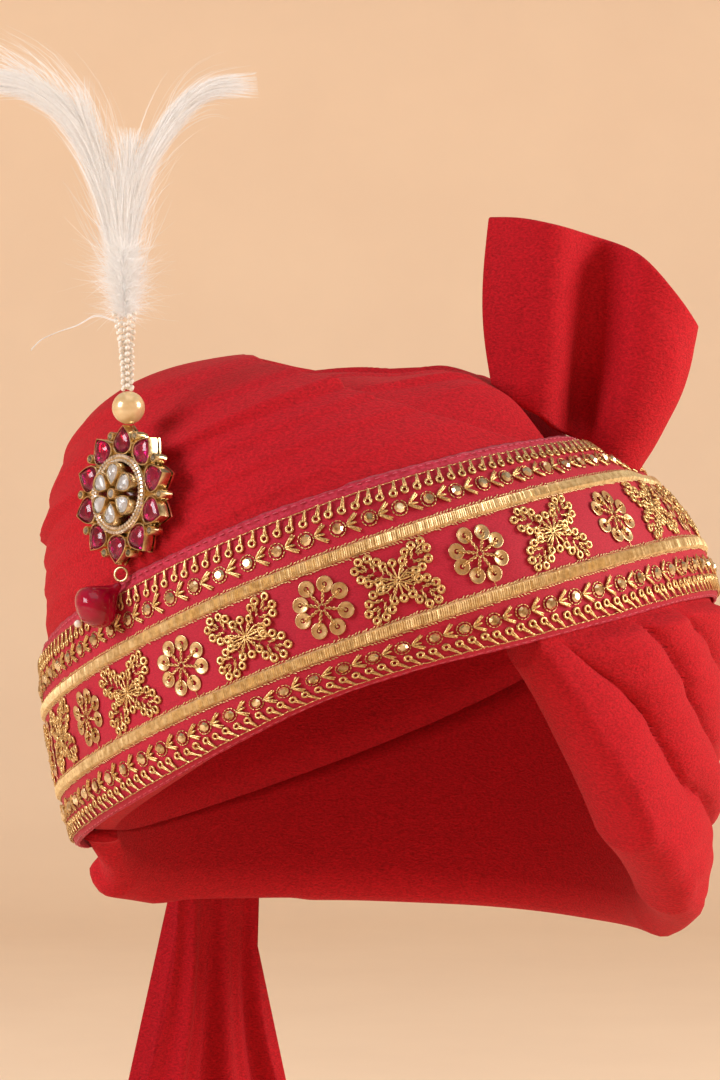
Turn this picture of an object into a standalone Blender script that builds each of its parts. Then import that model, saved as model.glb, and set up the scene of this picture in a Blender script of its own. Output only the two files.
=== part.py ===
"""A tied turban (pagri): wound cloth, an embroidered border, a cloth fan, a hanging end and a kalgi brooch.

Metres, +Z up. The front faces -Y and +X is the viewer's right. The origin is the inside top of the
head hollow, where the crown of a head meets the cloth. Azimuth is 0 at the front and grows towards +X.
"""

import math

import bmesh
import bpy
import numpy as np

# Outer form of the wound cloth
HALF_WIDTH = 0.110
HALF_DEPTH = 0.124
BELLY_Z = -0.074
RISE = 0.087
DROP = 0.160
SQUARENESS = 2.55
SQUARENESS_SIDE = 0.55
LEAN = 0.075
# Shallow dip at the right of the top, where the cloth is gathered into the fan
DIP_DEPTH = 0.009
DIP_RADIUS = 0.040
DIP_X = 0.064
DIP_Y = -0.022

# Head hollow, whose top is the origin
HEAD_HALF_WIDTH = 0.089
HEAD_HALF_DEPTH = 0.101
HEAD_RISE = 0.085
HEAD_DROP = 0.260
HEAD_SQUARENESS = 2.1

# Wound layers, as depths under the outer form
PLY = 0.0044
LAYER_GAP = 0.0006
UNDER_BAND = 0.0008

# Embroidered border: its centre line is where a tilted plane meets the form
BAND_Z = -0.0755
BAND_SLOPE_X = 0.35
BAND_SLOPE_Y = -0.13
BAND_CURL = 0.0045
BAND_ABOVE = 0.0335
BAND_BELOW = 0.031
BAND_THICK = 0.0018
FRONT_PULL = 0.15
FRONT_PULL_AT = math.radians(-10)
FRONT_PULL_SPREAD = math.radians(26)
BRAID_OFFSET = 0.013
BRAID_WIDTH = 0.0044
BRAID_THICK = 0.0012
BRAID_GAP = 0.0004

# The crown cloth stops a little above the border's lower edge
RIM_RISE = 0.004

# Front swathe: upper edge on a tilted plane, lower edge hidden under the border
SWATHE_EDGE_Z = 0.0036
SWATHE_EDGE_X = -0.28
SWATHE_EDGE_Y = 0.05
SWATHE_TUCK = 0.006
FOLD_SLOPE_X = 0.40
FOLD_SLOPE_Y = -0.11
FOLD_HEIGHT = 0.0030
FOLD_LIP = 0.004
FOLD_FALL = 0.013
# Each fold's level is a share of RISE under the top of the form; its height is a share of FOLD_HEIGHT
SWATHE_FOLDS = (
    {"level": -0.080, "height": 0.8},
    {"level": 0.057, "height": 0.5},
    {"level": 0.184, "height": 1.0},
    {"level": 0.290, "height": 0.5},
    {"level": 0.400, "height": 0.4},
)

# Crown cloth that shows behind the swathe, gathered into folds that run to the fan's foot
CROWN_SWELL = 0.0010
CROWN_SWELL_FAN = 0.0065
CROWN_FOLD = 0.0022
CROWN_FOLD_ANGLES = (-62, -34, -8, 18, 46)
# The folds start and are full this far from the fan's middle, as shares of FAN_WIDTH
CROWN_FOLD_STARTS = 0.55
CROWN_FOLD_FULL = 0.80

# Nape cloth: from the right of the front, round the back, to the left side
NAPE_START = math.radians(22)
NAPE_END = math.radians(268)
NAPE_TUCK = 0.006
NAPE_DROP = 0.101
NAPE_ROLL = 0.010
NAPE_SWELL = 0.0072
# The swell starts and is full at these shares of NAPE_DROP; the cloth lies flat at both its ends
NAPE_SWELL_STARTS = 0.20
NAPE_SWELL_FULL = 0.85
NAPE_FADE_RIGHT = math.radians(25)
NAPE_FADE_LEFT = math.radians(18)
PLEAT_HEIGHT = 0.0040
PLEAT_LIP = 0.005
PLEAT_FALL = 0.014
# Lower rim and pleat lines of the nape cloth: depth under the belly as a share of NAPE_DROP
NAPE_RIM = (
    {"azimuth": 22, "depth": 0.020},
    {"azimuth": 30, "depth": 0.210},
    {"azimuth": 37, "depth": 0.386},
    {"azimuth": 49, "depth": 0.663},
    {"azimuth": 70, "depth": 0.880},
    {"azimuth": 100, "depth": 1.000},
    {"azimuth": 130, "depth": 0.990},
    {"azimuth": 180, "depth": 0.970},
    {"azimuth": 235, "depth": 0.940},
    {"azimuth": 250, "depth": 0.900},
    {"azimuth": 260, "depth": 0.800},
    {"azimuth": 268, "depth": 0.680},
)
PLEATS = (
    {"azimuth": 30, "low": 0.02, "middle": -0.30, "high": -0.50},
    {"azimuth": 45, "low": 0.23, "middle": -0.045, "high": -0.28},
    {"azimuth": 60, "low": 0.46, "middle": 0.20, "high": -0.02},
    {"azimuth": 75, "low": 0.57, "middle": 0.396, "high": 0.11},
    {"azimuth": 110, "low": 0.75, "middle": 0.58, "high": 0.34},
    {"azimuth": 180, "low": 0.82, "middle": 0.66, "high": 0.46},
    {"azimuth": 250, "low": 0.70, "middle": 0.56, "high": 0.36},
)
PLEAT_SHARES = {"low": 1.0, "middle": 0.9, "high": 0.7}

# Hanging end: tucked under the border at the back left
TAIL_AZIMUTH = math.radians(213)
TAIL_TUCK = 0.012
TAIL_THICK = 0.0018
# Room between the hanging end and the cloth that it is tucked into
TAIL_CLEAR = 0.0009
TAIL_TOP_HALF = 0.015
# Its width grows by this share until it leaves the cloth, and is full at this share of the free length
TAIL_WIDENS = 0.35
TAIL_FULL_AT = 0.83
TAIL_LEAVES_Z = -0.150
TAIL_END_Z = -0.322
TAIL_END_HALF = 0.052
TAIL_FOLD = 0.007
TAIL_WAVES = 2.2
TAIL_WAVE_TURN = 0.6
TAIL_SHIFT = 0.006
TAIL_POCKET = math.radians(13)
TAIL_POCKET_FADE = math.radians(6)

# Cloth fan standing on the crown, a pleated sheet whose far end curls back
FAN_X = 0.0345
FAN_WIDTH = 0.070
FAN_Y = -0.018
FAN_FOLD = 0.022
FAN_TOP_Z = 0.0585
FAN_HEIGHT = 0.066
FAN_THICK = 0.0022
# Across and deep place the top edge, as shares of FAN_WIDTH and FAN_FOLD, and lower is its depth under
# FAN_TOP_Z as a share of FAN_HEIGHT; bow is how far the sheet bulges sideways halfway up
FAN_COLUMNS = (
    {"across": 0.00, "deep": 0.00, "foot_across": 0.02, "foot_deep": 0.10, "lower": 0.00, "bow": -0.035},
    {"across": 0.15, "deep": 0.45, "foot_across": 0.12, "foot_deep": 0.35, "lower": 0.01, "bow": -0.020},
    {"across": 0.33, "deep": 0.75, "foot_across": 0.27, "foot_deep": 0.55, "lower": 0.06, "bow": 0.000},
    {"across": 0.46, "deep": 0.10, "foot_across": 0.36, "foot_deep": -0.10, "lower": 0.08, "bow": 0.000},
    {"across": 0.58, "deep": 0.00, "foot_across": 0.45, "foot_deep": -0.20, "lower": 0.12, "bow": 0.000},
    {"across": 0.72, "deep": 0.55, "foot_across": 0.58, "foot_deep": 0.30, "lower": 0.20, "bow": 0.020},
    {"across": 0.90, "deep": 0.30, "foot_across": 0.69, "foot_deep": 0.05, "lower": 0.42, "bow": 0.045},
    {"across": 1.01, "deep": -0.50, "foot_across": 0.72, "foot_deep": -0.60, "lower": 0.56, "bow": 0.050},
    {"across": 0.92, "deep": -1.20, "foot_across": 0.67, "foot_deep": -1.20, "lower": 0.36, "bow": 0.040},
    {"across": 0.70, "deep": -1.45, "foot_across": 0.52, "foot_deep": -1.60, "lower": 0.22, "bow": 0.020},
    {"across": 0.46, "deep": -1.15, "foot_across": 0.30, "foot_deep": -1.50, "lower": 0.16, "bow": 0.000},
)

# Kalgi brooch on the left of the front; the cloth's facets sag a little inside its smooth form there
KALGI_AZIMUTH = math.radians(-45)
KALGI_Z = -0.0320
KALGI_TILT = math.radians(4)
KALGI_SEAT = 0.0003
CLOTH_SAG = 0.00038
PETALS = 10
PETAL_INNER = 0.0130
PETAL_OUTER = 0.0212
PETAL_HALF = 0.0042
METAL_WALL = 0.0005
STONE_GAP = 0.0003
TIER_RADIUS = 0.0130
TIER_DEPTH = 0.0034
PLATE_RADIUS = 0.0172
PLATE_DEPTH = 0.0016
CUP_DEPTH = 0.0034
FLOOR_DEPTH = 0.0002
STONE_RISE = 0.0010
HALO_INNER = 0.0100
HALO_OUTER = 0.0124
HALO_RISE = 0.0010
POLKI = 6
POLKI_INNER = 0.0034
POLKI_OUTER = 0.0089
POLKI_HALF = 0.0026
# The middle flower stands this much above the other settings
POLKI_LIFT = 0.0034
CENTRE_RADIUS = 0.0014
ROUND_AT = 0.0187
ROUND_RADIUS = 0.00090

# Pearl, seed-bead bundle and plume above the brooch, on a stalk that leans a little to the left
STALK_LEAN = 0.04
PEARL_RADIUS = 0.0051
BUNDLE_LENGTH = 0.0212
BUNDLE_FOOT = 0.0021
BUNDLE_TOP = 0.0029
BUNDLE_STRANDS = 6
BUNDLE_FLUTE = 0.22
PLUME_HALF = 0.0085
PLUME_HEAD = 0.0120
PLUME_HEIGHT = 0.0617
PLUME_THICK = 0.0016
# Feather paths: side and height are shares of PLUME_HEIGHT from the middle of the plume's head
FEATHERS = (
    {
        "width": 0.0095,
        "path": ((0.00, 0.00), (0.045, 0.33), (0.11, 0.57), (0.26, 0.82), (0.43, 0.96), (0.67, 0.98)),
    },
    {
        "width": 0.0120,
        "path": ((0.00, 0.00), (-0.09, 0.42), (-0.24, 0.77), (-0.44, 0.95), (-0.64, 1.00), (-0.84, 0.98)),
    },
    {
        "width": 0.0070,
        "path": ((0.00, 0.00), (0.00, 0.25), (0.015, 0.45), (0.03, 0.60), (0.035, 0.70), (0.04, 0.77)),
    },
)

# Glass drop that hangs from the brooch and lies on the border
RING_RADIUS = 0.0021
RING_WIRE = 0.00045
DROP_LENGTH = 0.0165
DROP_RADIUS = 0.0070
DROP_LEAN = math.radians(32)
DROP_CLEAR = 0.0016
# Radius along the drop from its neck, as shares of DROP_RADIUS and DROP_LENGTH; it is widest at DROP_BELLY
DROP_BELLY = 0.64
DROP_PROFILE = (
    {"along": 0.00, "reach": 0.00},
    {"along": 0.04, "reach": 0.10},
    {"along": 0.16, "reach": 0.22},
    {"along": 0.30, "reach": 0.52},
    {"along": 0.46, "reach": 0.84},
    {"along": DROP_BELLY, "reach": 1.00},
    {"along": 0.82, "reach": 0.84},
    {"along": 0.95, "reach": 0.42},
    {"along": 1.00, "reach": 0.00},
)
END_BEAD_RADIUS = 0.0012
SEAT = 0.0003

COLUMNS = 52
STEP = 2 * math.pi / COLUMNS


def smooth(t):
    """Ease from 0 to 1."""
    t = np.clip(t, 0.0, 1.0)
    return t * t * (3.0 - 2.0 * t)


def sinking(x, y):
    """How far the top is lowered by its lean and its dip, where it is fully raised."""
    near = 1.0 - np.hypot(x - DIP_X, y - DIP_Y) / DIP_RADIUS
    return LEAN * x + DIP_DEPTH * smooth(near)


def form(az, el):
    """A point of the outer form at an azimuth and an elevation above the belly."""
    az, el = np.broadcast_arrays(np.asarray(az, float), np.asarray(el, float))
    upper = el >= 0
    power = np.where(upper, SQUARENESS - SQUARENESS_SIDE * np.sin(az), 2.0)
    height = np.where(upper, RISE, DROP)
    level, climb = np.abs(np.cos(el)), np.abs(np.sin(el))
    reach = (level**power + climb**power) ** (-1.0 / power)
    x = HALF_WIDTH * reach * level * np.sin(az)
    y = -HALF_DEPTH * reach * level * np.cos(az)
    z = BELLY_Z + height * reach * np.sin(el)
    z = z - sinking(x, y) * smooth(reach * np.sin(el))
    return np.stack([x, y, z], axis=-1)


def form_normal(az, el):
    """The form's outward normal."""
    el = np.minimum(el, math.radians(88.0))
    nudge = 1e-3
    along = form(az + nudge, el) - form(az - nudge, el)
    upward = form(az, el + nudge) - form(az, el - nudge)
    normal = np.cross(along, upward)
    return normal / np.linalg.norm(normal, axis=-1, keepdims=True)


def lifted(az, el, lift):
    """A point at a height above the form, along its normal."""
    return form(az, el) + form_normal(az, el) * np.asarray(lift, float)[..., None]


def place(point):
    """Azimuth and elevation of the form's point in line with a given point."""
    x, y, z = point[..., 0], point[..., 1], point[..., 2]
    raised = z
    for _ in range(6):
        raised = z + sinking(x, y) * smooth((raised - BELLY_Z) / RISE)
    height = np.where(raised > BELLY_Z, RISE, DROP)
    el = np.arctan2((raised - BELLY_Z) / height, np.hypot(x / HALF_WIDTH, y / HALF_DEPTH))
    return np.arctan2(x / HALF_WIDTH, -y / HALF_DEPTH), el


def height_over_form(point):
    """How far a point stands off the form."""
    az, el = place(point)
    return np.sum((point - form(az, el)) * form_normal(az, el), axis=-1)


def elevation_where(az, height_at):
    """The elevation at which the form crosses a surface z = height_at(point)."""
    low = np.full(np.shape(az), -1.3)
    high = np.full(np.shape(az), math.pi / 2)
    for _ in range(36):
        middle = (low + high) / 2
        point = form(az, middle)
        over = point[..., 2] > height_at(point)
        high = np.where(over, middle, high)
        low = np.where(over, low, middle)
    return (low + high) / 2


def band_plane(point):
    """The tilted surface through the border's centre line; it steepens towards the sides."""
    x, y = point[..., 0], point[..., 1]
    return BAND_Z + BAND_SLOPE_X * x + BAND_SLOPE_Y * y + BAND_CURL * (x / HALF_WIDTH) ** 3


def swathe_plane(point):
    """The tilted plane of the swathe's upper edge."""
    return SWATHE_EDGE_Z + SWATHE_EDGE_X * point[..., 0] + SWATHE_EDGE_Y * point[..., 1]


def band_place(az, across):
    """Where a point lies that is a distance across the border from its centre line, measured on the form."""
    az = np.asarray(az, float)
    el = elevation_where(az, band_plane)
    nudge = 0.01
    ahead = form(az + nudge, elevation_where(az + nudge, band_plane))
    behind = form(az - nudge, elevation_where(az - nudge, band_plane))
    along = ahead - behind
    along = along / np.linalg.norm(along, axis=-1, keepdims=True)
    steps = 6
    at = az
    for _ in range(steps):
        side = np.cross(form_normal(at, el), along)
        side = side / np.linalg.norm(side, axis=-1, keepdims=True)
        stride = np.asarray(across, float)[..., None] / steps
        at, el = place(form(at, el) + side * stride)
    return az + np.angle(np.exp(1j * (at - az))), el


def band_below(az):
    """The border's width below its centre line, which is pulled in over the forehead."""
    turn = np.angle(np.exp(1j * (az - FRONT_PULL_AT)))
    return BAND_BELOW * (1.0 - FRONT_PULL * np.exp(-((turn / FRONT_PULL_SPREAD) ** 2)))


def lip(distance, rise, fall):
    """Profile of a folded edge: nothing before it, a quick rise, then a slow fall."""
    past = np.maximum(distance, 0.0)
    return smooth(past / rise) * np.exp(-np.maximum(past - rise, 0.0) / fall)


def table(rows, column, degrees):
    """Read a table's column at azimuths in degrees."""
    return np.interp(degrees, [row["azimuth"] for row in rows], [row[column] for row in rows])


def hollow(az, z):
    """A point on the wall of the head hollow at an azimuth and a height."""
    belly = -HEAD_RISE
    upper = z > belly
    power = np.where(upper, HEAD_SQUARENESS, 2.0)
    share = np.abs(z - belly) / np.where(upper, HEAD_RISE, HEAD_DROP)
    reach = np.maximum(1.0 - share**power, 0.0) ** (1.0 / power)
    x = HEAD_HALF_WIDTH * reach * np.sin(az)
    y = -HEAD_HALF_DEPTH * reach * np.cos(az)
    return np.stack([x, y, z + 0 * x], axis=-1)


def material(name, colour, roughness, metallic=0.0):
    """A plain finish."""
    made = bpy.data.materials.new(name)
    made.use_nodes = True
    shader = made.node_tree.nodes["Principled BSDF"]
    shader.inputs["Base Color"].default_value = (*colour, 1.0)
    shader.inputs["Roughness"].default_value = roughness
    shader.inputs["Metallic"].default_value = metallic
    return made


def solid(name, points, faces, finish, sharp=40.0):
    """An object from points and faces, turned outward and shaded smooth."""
    mesh = bpy.data.meshes.new(name)
    mesh.from_pydata([tuple(float(c) for c in point) for point in points], [], faces)
    work = bmesh.new()
    work.from_mesh(mesh)
    bmesh.ops.recalc_face_normals(work, faces=work.faces)
    if work.calc_volume(signed=True) < 0:
        bmesh.ops.reverse_faces(work, faces=work.faces)
    work.to_mesh(mesh)
    work.free()
    mesh.materials.append(finish)
    mesh.shade_smooth()
    mesh.set_sharp_from_angle(angle=math.radians(sharp))
    made = bpy.data.objects.new(name, mesh)
    bpy.context.scene.collection.objects.link(made)
    return made


def grid_faces(start, columns, rows, closed, flip=False):
    """Quads over a grid of points stored column by column."""
    faces = []
    for i in range(columns if closed else columns - 1):
        j = (i + 1) % columns
        for k in range(rows - 1):
            near, far = start + i * rows + k, start + j * rows + k
            quad = [near, far, far + 1, near + 1]
            faces.append(quad[::-1] if flip else quad)
    return faces


def shell(name, outer, inner, finish, closed):
    """A sheet with thickness, from two grids of points that share their columns."""
    columns, outer_rows = outer.shape[:2]
    inner_rows = inner.shape[1]
    start = columns * outer_rows
    faces = grid_faces(0, columns, outer_rows, closed)
    faces += grid_faces(start, columns, inner_rows, closed, flip=True)
    for i in range(columns if closed else columns - 1):
        j = (i + 1) % columns
        for out, into in ((0, 0), (outer_rows - 1, inner_rows - 1)):
            strip = [i * outer_rows + out, j * outer_rows + out, start + j * inner_rows + into]
            strip.append(start + i * inner_rows + into)
            faces.append(strip if out else strip[::-1])
    if not closed:
        for i in (0, columns - 1):
            for k in range(outer_rows - 1):
                near = i * outer_rows + k
                far = start + i * inner_rows + k
                cap = [near, near + 1, far + 1, far]
                faces.append(cap if i else cap[::-1])
    points = np.concatenate([outer.reshape(-1, 3), inner.reshape(-1, 3)])
    return solid(name, points, faces, finish)


def between(first, last, shares):
    """Rows of azimuth and elevation between two edge lines; the shares may differ by column."""
    shares = np.atleast_2d(shares)
    az = first[0][:, None] * (1 - shares) + last[0][:, None] * shares
    el = first[1][:, None] * (1 - shares) + last[1][:, None] * shares
    return az, el


AZIMUTHS = np.arange(COLUMNS) * STEP
RIM_LINE = band_place(AZIMUTHS, -(band_below(AZIMUTHS) - RIM_RISE))
TUCK_LINE = band_place(AZIMUTHS, np.full(COLUMNS, SWATHE_TUCK))
EDGE_LINE = (AZIMUTHS, elevation_where(AZIMUTHS, swathe_plane))
HEM_LINE = band_place(AZIMUTHS, -band_below(AZIMUTHS))
HEM_HEIGHTS = form(*HEM_LINE)[:, 2]
UPPER_HEM_LINE = band_place(AZIMUTHS, np.full(COLUMNS, BAND_ABOVE))
HIDDEN_SHARES = np.linspace(0.0, 1.0, 7)
CROWN_TOP = BELLY_Z + RISE
CROWN_UNDER = UNDER_BAND + PLY + LAYER_GAP


def round_the_form(az, line, values):
    """A value along a line round the form, such as its height or elevation, at any azimuth."""
    return np.interp(az, line[0], values, period=2 * math.pi)


def swathe_shares():
    """Where the border's upper edge crosses each column of the swathe, as a share of the column."""
    share = np.full(COLUMNS, 0.5)
    rise = EDGE_LINE[1] - TUCK_LINE[1]
    for _ in range(8):
        az = TUCK_LINE[0] + (EDGE_LINE[0] - TUCK_LINE[0]) * share
        hem = round_the_form(az, UPPER_HEM_LINE, UPPER_HEM_LINE[1])
        share = np.clip((hem - TUCK_LINE[1]) / rise, 0.05, 0.85)
    return share


def swathe_lift(az, el):
    """Folds of the front swathe, flat where the border covers it."""
    point = form(az, el)
    level = point[..., 2] - FOLD_SLOPE_X * point[..., 0] - FOLD_SLOPE_Y * point[..., 1]
    folds = 0.0
    for fold in SWATHE_FOLDS:
        over = level - (CROWN_TOP - fold["level"] * RISE)
        folds = folds + FOLD_HEIGHT * fold["height"] * lip(over, FOLD_LIP, FOLD_FALL)
    clear = (el - round_the_form(az, UPPER_HEM_LINE, UPPER_HEM_LINE[1])) * RISE
    return -UNDER_BAND + folds * smooth(clear / FOLD_LIP)


def crown_lift(az, el):
    """The crown cloth: low under the swathe, swelling into folds where it shows."""
    point = form(az, el)
    inside = smooth((point[..., 2] - swathe_plane(point) - FOLD_LIP / 2) / (2 * FOLD_LIP))
    foot_x = FAN_X + FAN_WIDTH / 2
    away_x = foot_x - point[..., 0]
    away_y = point[..., 1] - FAN_Y
    distance = np.hypot(away_x, away_y)
    turn = np.arctan2(away_y, away_x)
    folds = 0.0
    for angle in CROWN_FOLD_ANGLES:
        across = distance * np.sin(np.clip(turn - math.radians(angle), -math.pi / 2, math.pi / 2))
        folds = folds + CROWN_FOLD * lip(across, FOLD_LIP, FOLD_FALL)
    spreading = (distance / FAN_WIDTH - CROWN_FOLD_STARTS) / (CROWN_FOLD_FULL - CROWN_FOLD_STARTS)
    spread = smooth(spreading) * (away_x > 0)
    swell = CROWN_SWELL + CROWN_SWELL_FAN * smooth(point[..., 0] / FAN_X)
    return -CROWN_UNDER + inside * (swell + folds * spread)


def nape_lift(az, z):
    """The nape cloth: swelling towards its rim, pleated, with a pocket for the hanging end."""
    around = np.mod(az, 2 * math.pi)
    degrees = np.degrees(around)
    under = BELLY_Z - z
    pleats = 0.0
    for name, share in PLEAT_SHARES.items():
        past = under - NAPE_DROP * table(PLEATS, name, degrees)
        pleats = pleats + PLEAT_HEIGHT * share * lip(past, PLEAT_LIP, PLEAT_FALL)
    off_tail = np.abs(around - TAIL_AZIMUTH)
    pocket = 1.0 - smooth((off_tail - TAIL_POCKET) / TAIL_POCKET_FADE)
    fade = smooth((around - NAPE_START) / NAPE_FADE_RIGHT) * smooth((NAPE_END - around) / NAPE_FADE_LEFT)
    swelling = (under / NAPE_DROP - NAPE_SWELL_STARTS) / (NAPE_SWELL_FULL - NAPE_SWELL_STARTS)
    swell = NAPE_SWELL * smooth(swelling)
    below = smooth((round_the_form(az, HEM_LINE, HEM_HEIGHTS) - z - LAYER_GAP) / PLEAT_LIP)
    cover = (pleats * (1.0 - pocket) + swell) * fade * below
    return -UNDER_BAND - (TAIL_THICK + TAIL_CLEAR) * pocket * (1.0 - below) + cover


def crown_wrap(finish):
    """The wound dome over the head hollow."""
    az_low, el_low = between(RIM_LINE, TUCK_LINE, (0.0, 0.5))
    az_mid, el_mid = between(TUCK_LINE, EDGE_LINE, HIDDEN_SHARES)
    pole_line = (AZIMUTHS, np.full(COLUMNS, math.pi / 2))
    az_top, el_top = between(EDGE_LINE, pole_line, (0.16, 0.34, 0.54, 0.76))
    az = np.concatenate([az_low, az_mid, az_top], axis=1)
    el = np.concatenate([el_low, el_mid, el_top], axis=1)
    outer = lifted(az, el, crown_lift(az, el))
    rows = outer.shape[1]
    rim = outer[:, 0]
    around = np.arctan2(rim[:, 0] / HEAD_HALF_WIDTH, -rim[:, 1] / HEAD_HALF_DEPTH)
    shares = np.linspace(0.0, 1.0, 6)[:-1]
    start = np.arcsin(np.clip((rim[:, 2] + HEAD_RISE) / HEAD_RISE, -1.0, 1.0))
    angle = start[:, None] * (1 - shares) + (math.pi / 2) * shares
    height = -HEAD_RISE + HEAD_RISE * np.sin(angle)
    inner = hollow(around[:, None], height)
    inner_rows = inner.shape[1]
    outer_pole = lifted(np.array([0.0]), np.array([math.pi / 2]), crown_lift(0.0, np.array([math.pi / 2])))
    points = np.concatenate([outer.reshape(-1, 3), inner.reshape(-1, 3), outer_pole, [[0.0, 0.0, 0.0]]])
    start_inner = COLUMNS * rows
    top, apex = len(points) - 2, len(points) - 1
    faces = grid_faces(0, COLUMNS, rows, True)
    faces += grid_faces(start_inner, COLUMNS, inner_rows, True, flip=True)
    for i in range(COLUMNS):
        j = (i + 1) % COLUMNS
        faces.append([j * rows, i * rows, start_inner + i * inner_rows, start_inner + j * inner_rows])
        faces.append([i * rows + rows - 1, j * rows + rows - 1, top])
        near = start_inner + i * inner_rows + inner_rows - 1
        far = start_inner + j * inner_rows + inner_rows - 1
        faces.append([far, near, apex])
    return solid("crown_wrap", points, faces, finish)


def front_swathe(finish):
    """The broad pleated turn of cloth that sweeps across the front and round the back."""
    covered = swathe_shares()[:, None]
    showing = np.array([0.03, 0.12, 0.26, 0.40, 0.52, 0.63, 0.73, 0.83, 0.92, 1.0])
    shares = np.concatenate([0.0 * covered, covered / 2, covered + (1 - covered) * showing], axis=1)
    az, el = between(TUCK_LINE, EDGE_LINE, shares)
    lift = swathe_lift(az, el)
    lift[:, -1] -= PLY / 3
    az_in, el_in = between(TUCK_LINE, EDGE_LINE, HIDDEN_SHARES)
    depth = np.full(az_in.shape, -(UNDER_BAND + PLY))
    return shell("front_swathe", lifted(az, el, lift), lifted(az_in, el_in, depth), finish, closed=True)


def border_band(finish):
    """The embroidered strip laid round the turban."""
    shares = np.linspace(0.0, 1.0, 6)
    below = -band_below(AZIMUTHS)
    across = below[:, None] * (1 - shares) + BAND_ABOVE * shares
    az, el = band_place(AZIMUTHS[:, None] + 0 * across, across)
    flat = np.zeros(az.shape)
    return shell("border_band", lifted(az, el, flat + BAND_THICK), lifted(az, el, flat), finish, closed=True)


def braid(name, offset, finish):
    """A raised gold braid along the border."""
    across = offset + BRAID_WIDTH * np.array([-0.5, 0.0, 0.5])
    across = across[None, :] + 0 * AZIMUTHS[:, None]
    az, el = band_place(AZIMUTHS[:, None] + 0 * across, across)
    foot = BAND_THICK + BRAID_GAP
    rise = foot + BRAID_THICK * np.array([0.45, 1.0, 0.45])
    ends = [0, 2]
    low = lifted(az[:, ends], el[:, ends], np.full((COLUMNS, 2), foot))
    return shell(name, lifted(az, el, rise + 0 * az), low, finish, closed=True)


def nape_wrap(finish):
    """The pleated cloth under the border at the side and nape, rolled in at its rim."""
    count = round((NAPE_END - NAPE_START) / STEP)
    azimuths = NAPE_START + (NAPE_END - NAPE_START) * np.arange(count + 1) / count
    top = band_place(azimuths, np.full(count + 1, -NAPE_TUCK))
    rim_az, rim_el = band_place(azimuths, -(band_below(azimuths) - RIM_RISE))
    rim_height = form(rim_az, rim_el)[:, 2]
    rim_depth = NAPE_DROP * table(NAPE_RIM, "depth", np.degrees(np.mod(rim_az, 2 * math.pi)))
    bottom = np.minimum(BELLY_Z - rim_depth, rim_height - NAPE_ROLL / 4)
    roll = np.minimum(NAPE_ROLL, (rim_height - bottom) * 0.6)
    roll_height = bottom + roll
    roll_el = elevation_where(rim_az, lambda point: roll_height)
    az_high, el_high = between(top, (rim_az, rim_el), (0.0, 0.5, 1.0))
    hem = round_the_form(rim_az, HEM_LINE, HEM_HEIGHTS) - LAYER_GAP
    covered = np.clip((rim_height - hem) / (rim_height - roll_height), 0.1, 0.5)[:, None]
    shares = covered + (1 - covered) * np.array([0.0, 0.2, 0.4, 0.6, 0.8, 1.0])
    az_low, el_low = between((rim_az, rim_el), (rim_az, roll_el), shares)
    az = np.concatenate([az_high, az_low], axis=1)
    el = np.concatenate([el_high, el_low], axis=1)
    outer = lifted(az, el, nape_lift(az, form(az, el)[..., 2]))
    crown_rim = lifted(rim_az, rim_el, np.full(count + 1, -CROWN_UNDER))
    around = np.arctan2(crown_rim[:, 0] / HEAD_HALF_WIDTH, -crown_rim[:, 1] / HEAD_HALF_DEPTH)
    under_gap = np.array([0.0, 0.0, -LAYER_GAP])
    depth = np.full(count + 1, -(UNDER_BAND + PLY))
    inner = [
        lifted(top[0], top[1], depth),
        lifted(az_high[:, 1], el_high[:, 1], depth),
        lifted(rim_az, rim_el, depth) + under_gap,
        crown_rim + 2 * under_gap,
        hollow(around, crown_rim[:, 2]) + 2 * under_gap,
    ]
    high = inner[-1][:, 2]
    for share in (0.3, 0.6, 0.85, 1.0):
        inner.append(hollow(around, high + (roll_height - high) * share))
    inner = np.stack(inner, axis=1)
    out_edge, in_edge = outer[:, -1], inner[:, -1]
    middle, reach = (out_edge + in_edge) / 2, (out_edge - in_edge) / 2
    down = np.stack([0 * roll, 0 * roll, -roll], axis=-1)
    outer_turn = [middle + reach * math.cos(a) + down * math.sin(a) for a in np.radians((35, 65))]
    inner_turn = [middle - reach * math.cos(a) + down * math.sin(a) for a in np.radians((35, 65))]
    outer = np.concatenate([outer, np.stack(outer_turn, axis=1)], axis=1)
    inner = np.concatenate([inner, np.stack(inner_turn, axis=1)], axis=1)
    return shell("nape_wrap", outer, inner, finish, closed=False)


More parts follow.
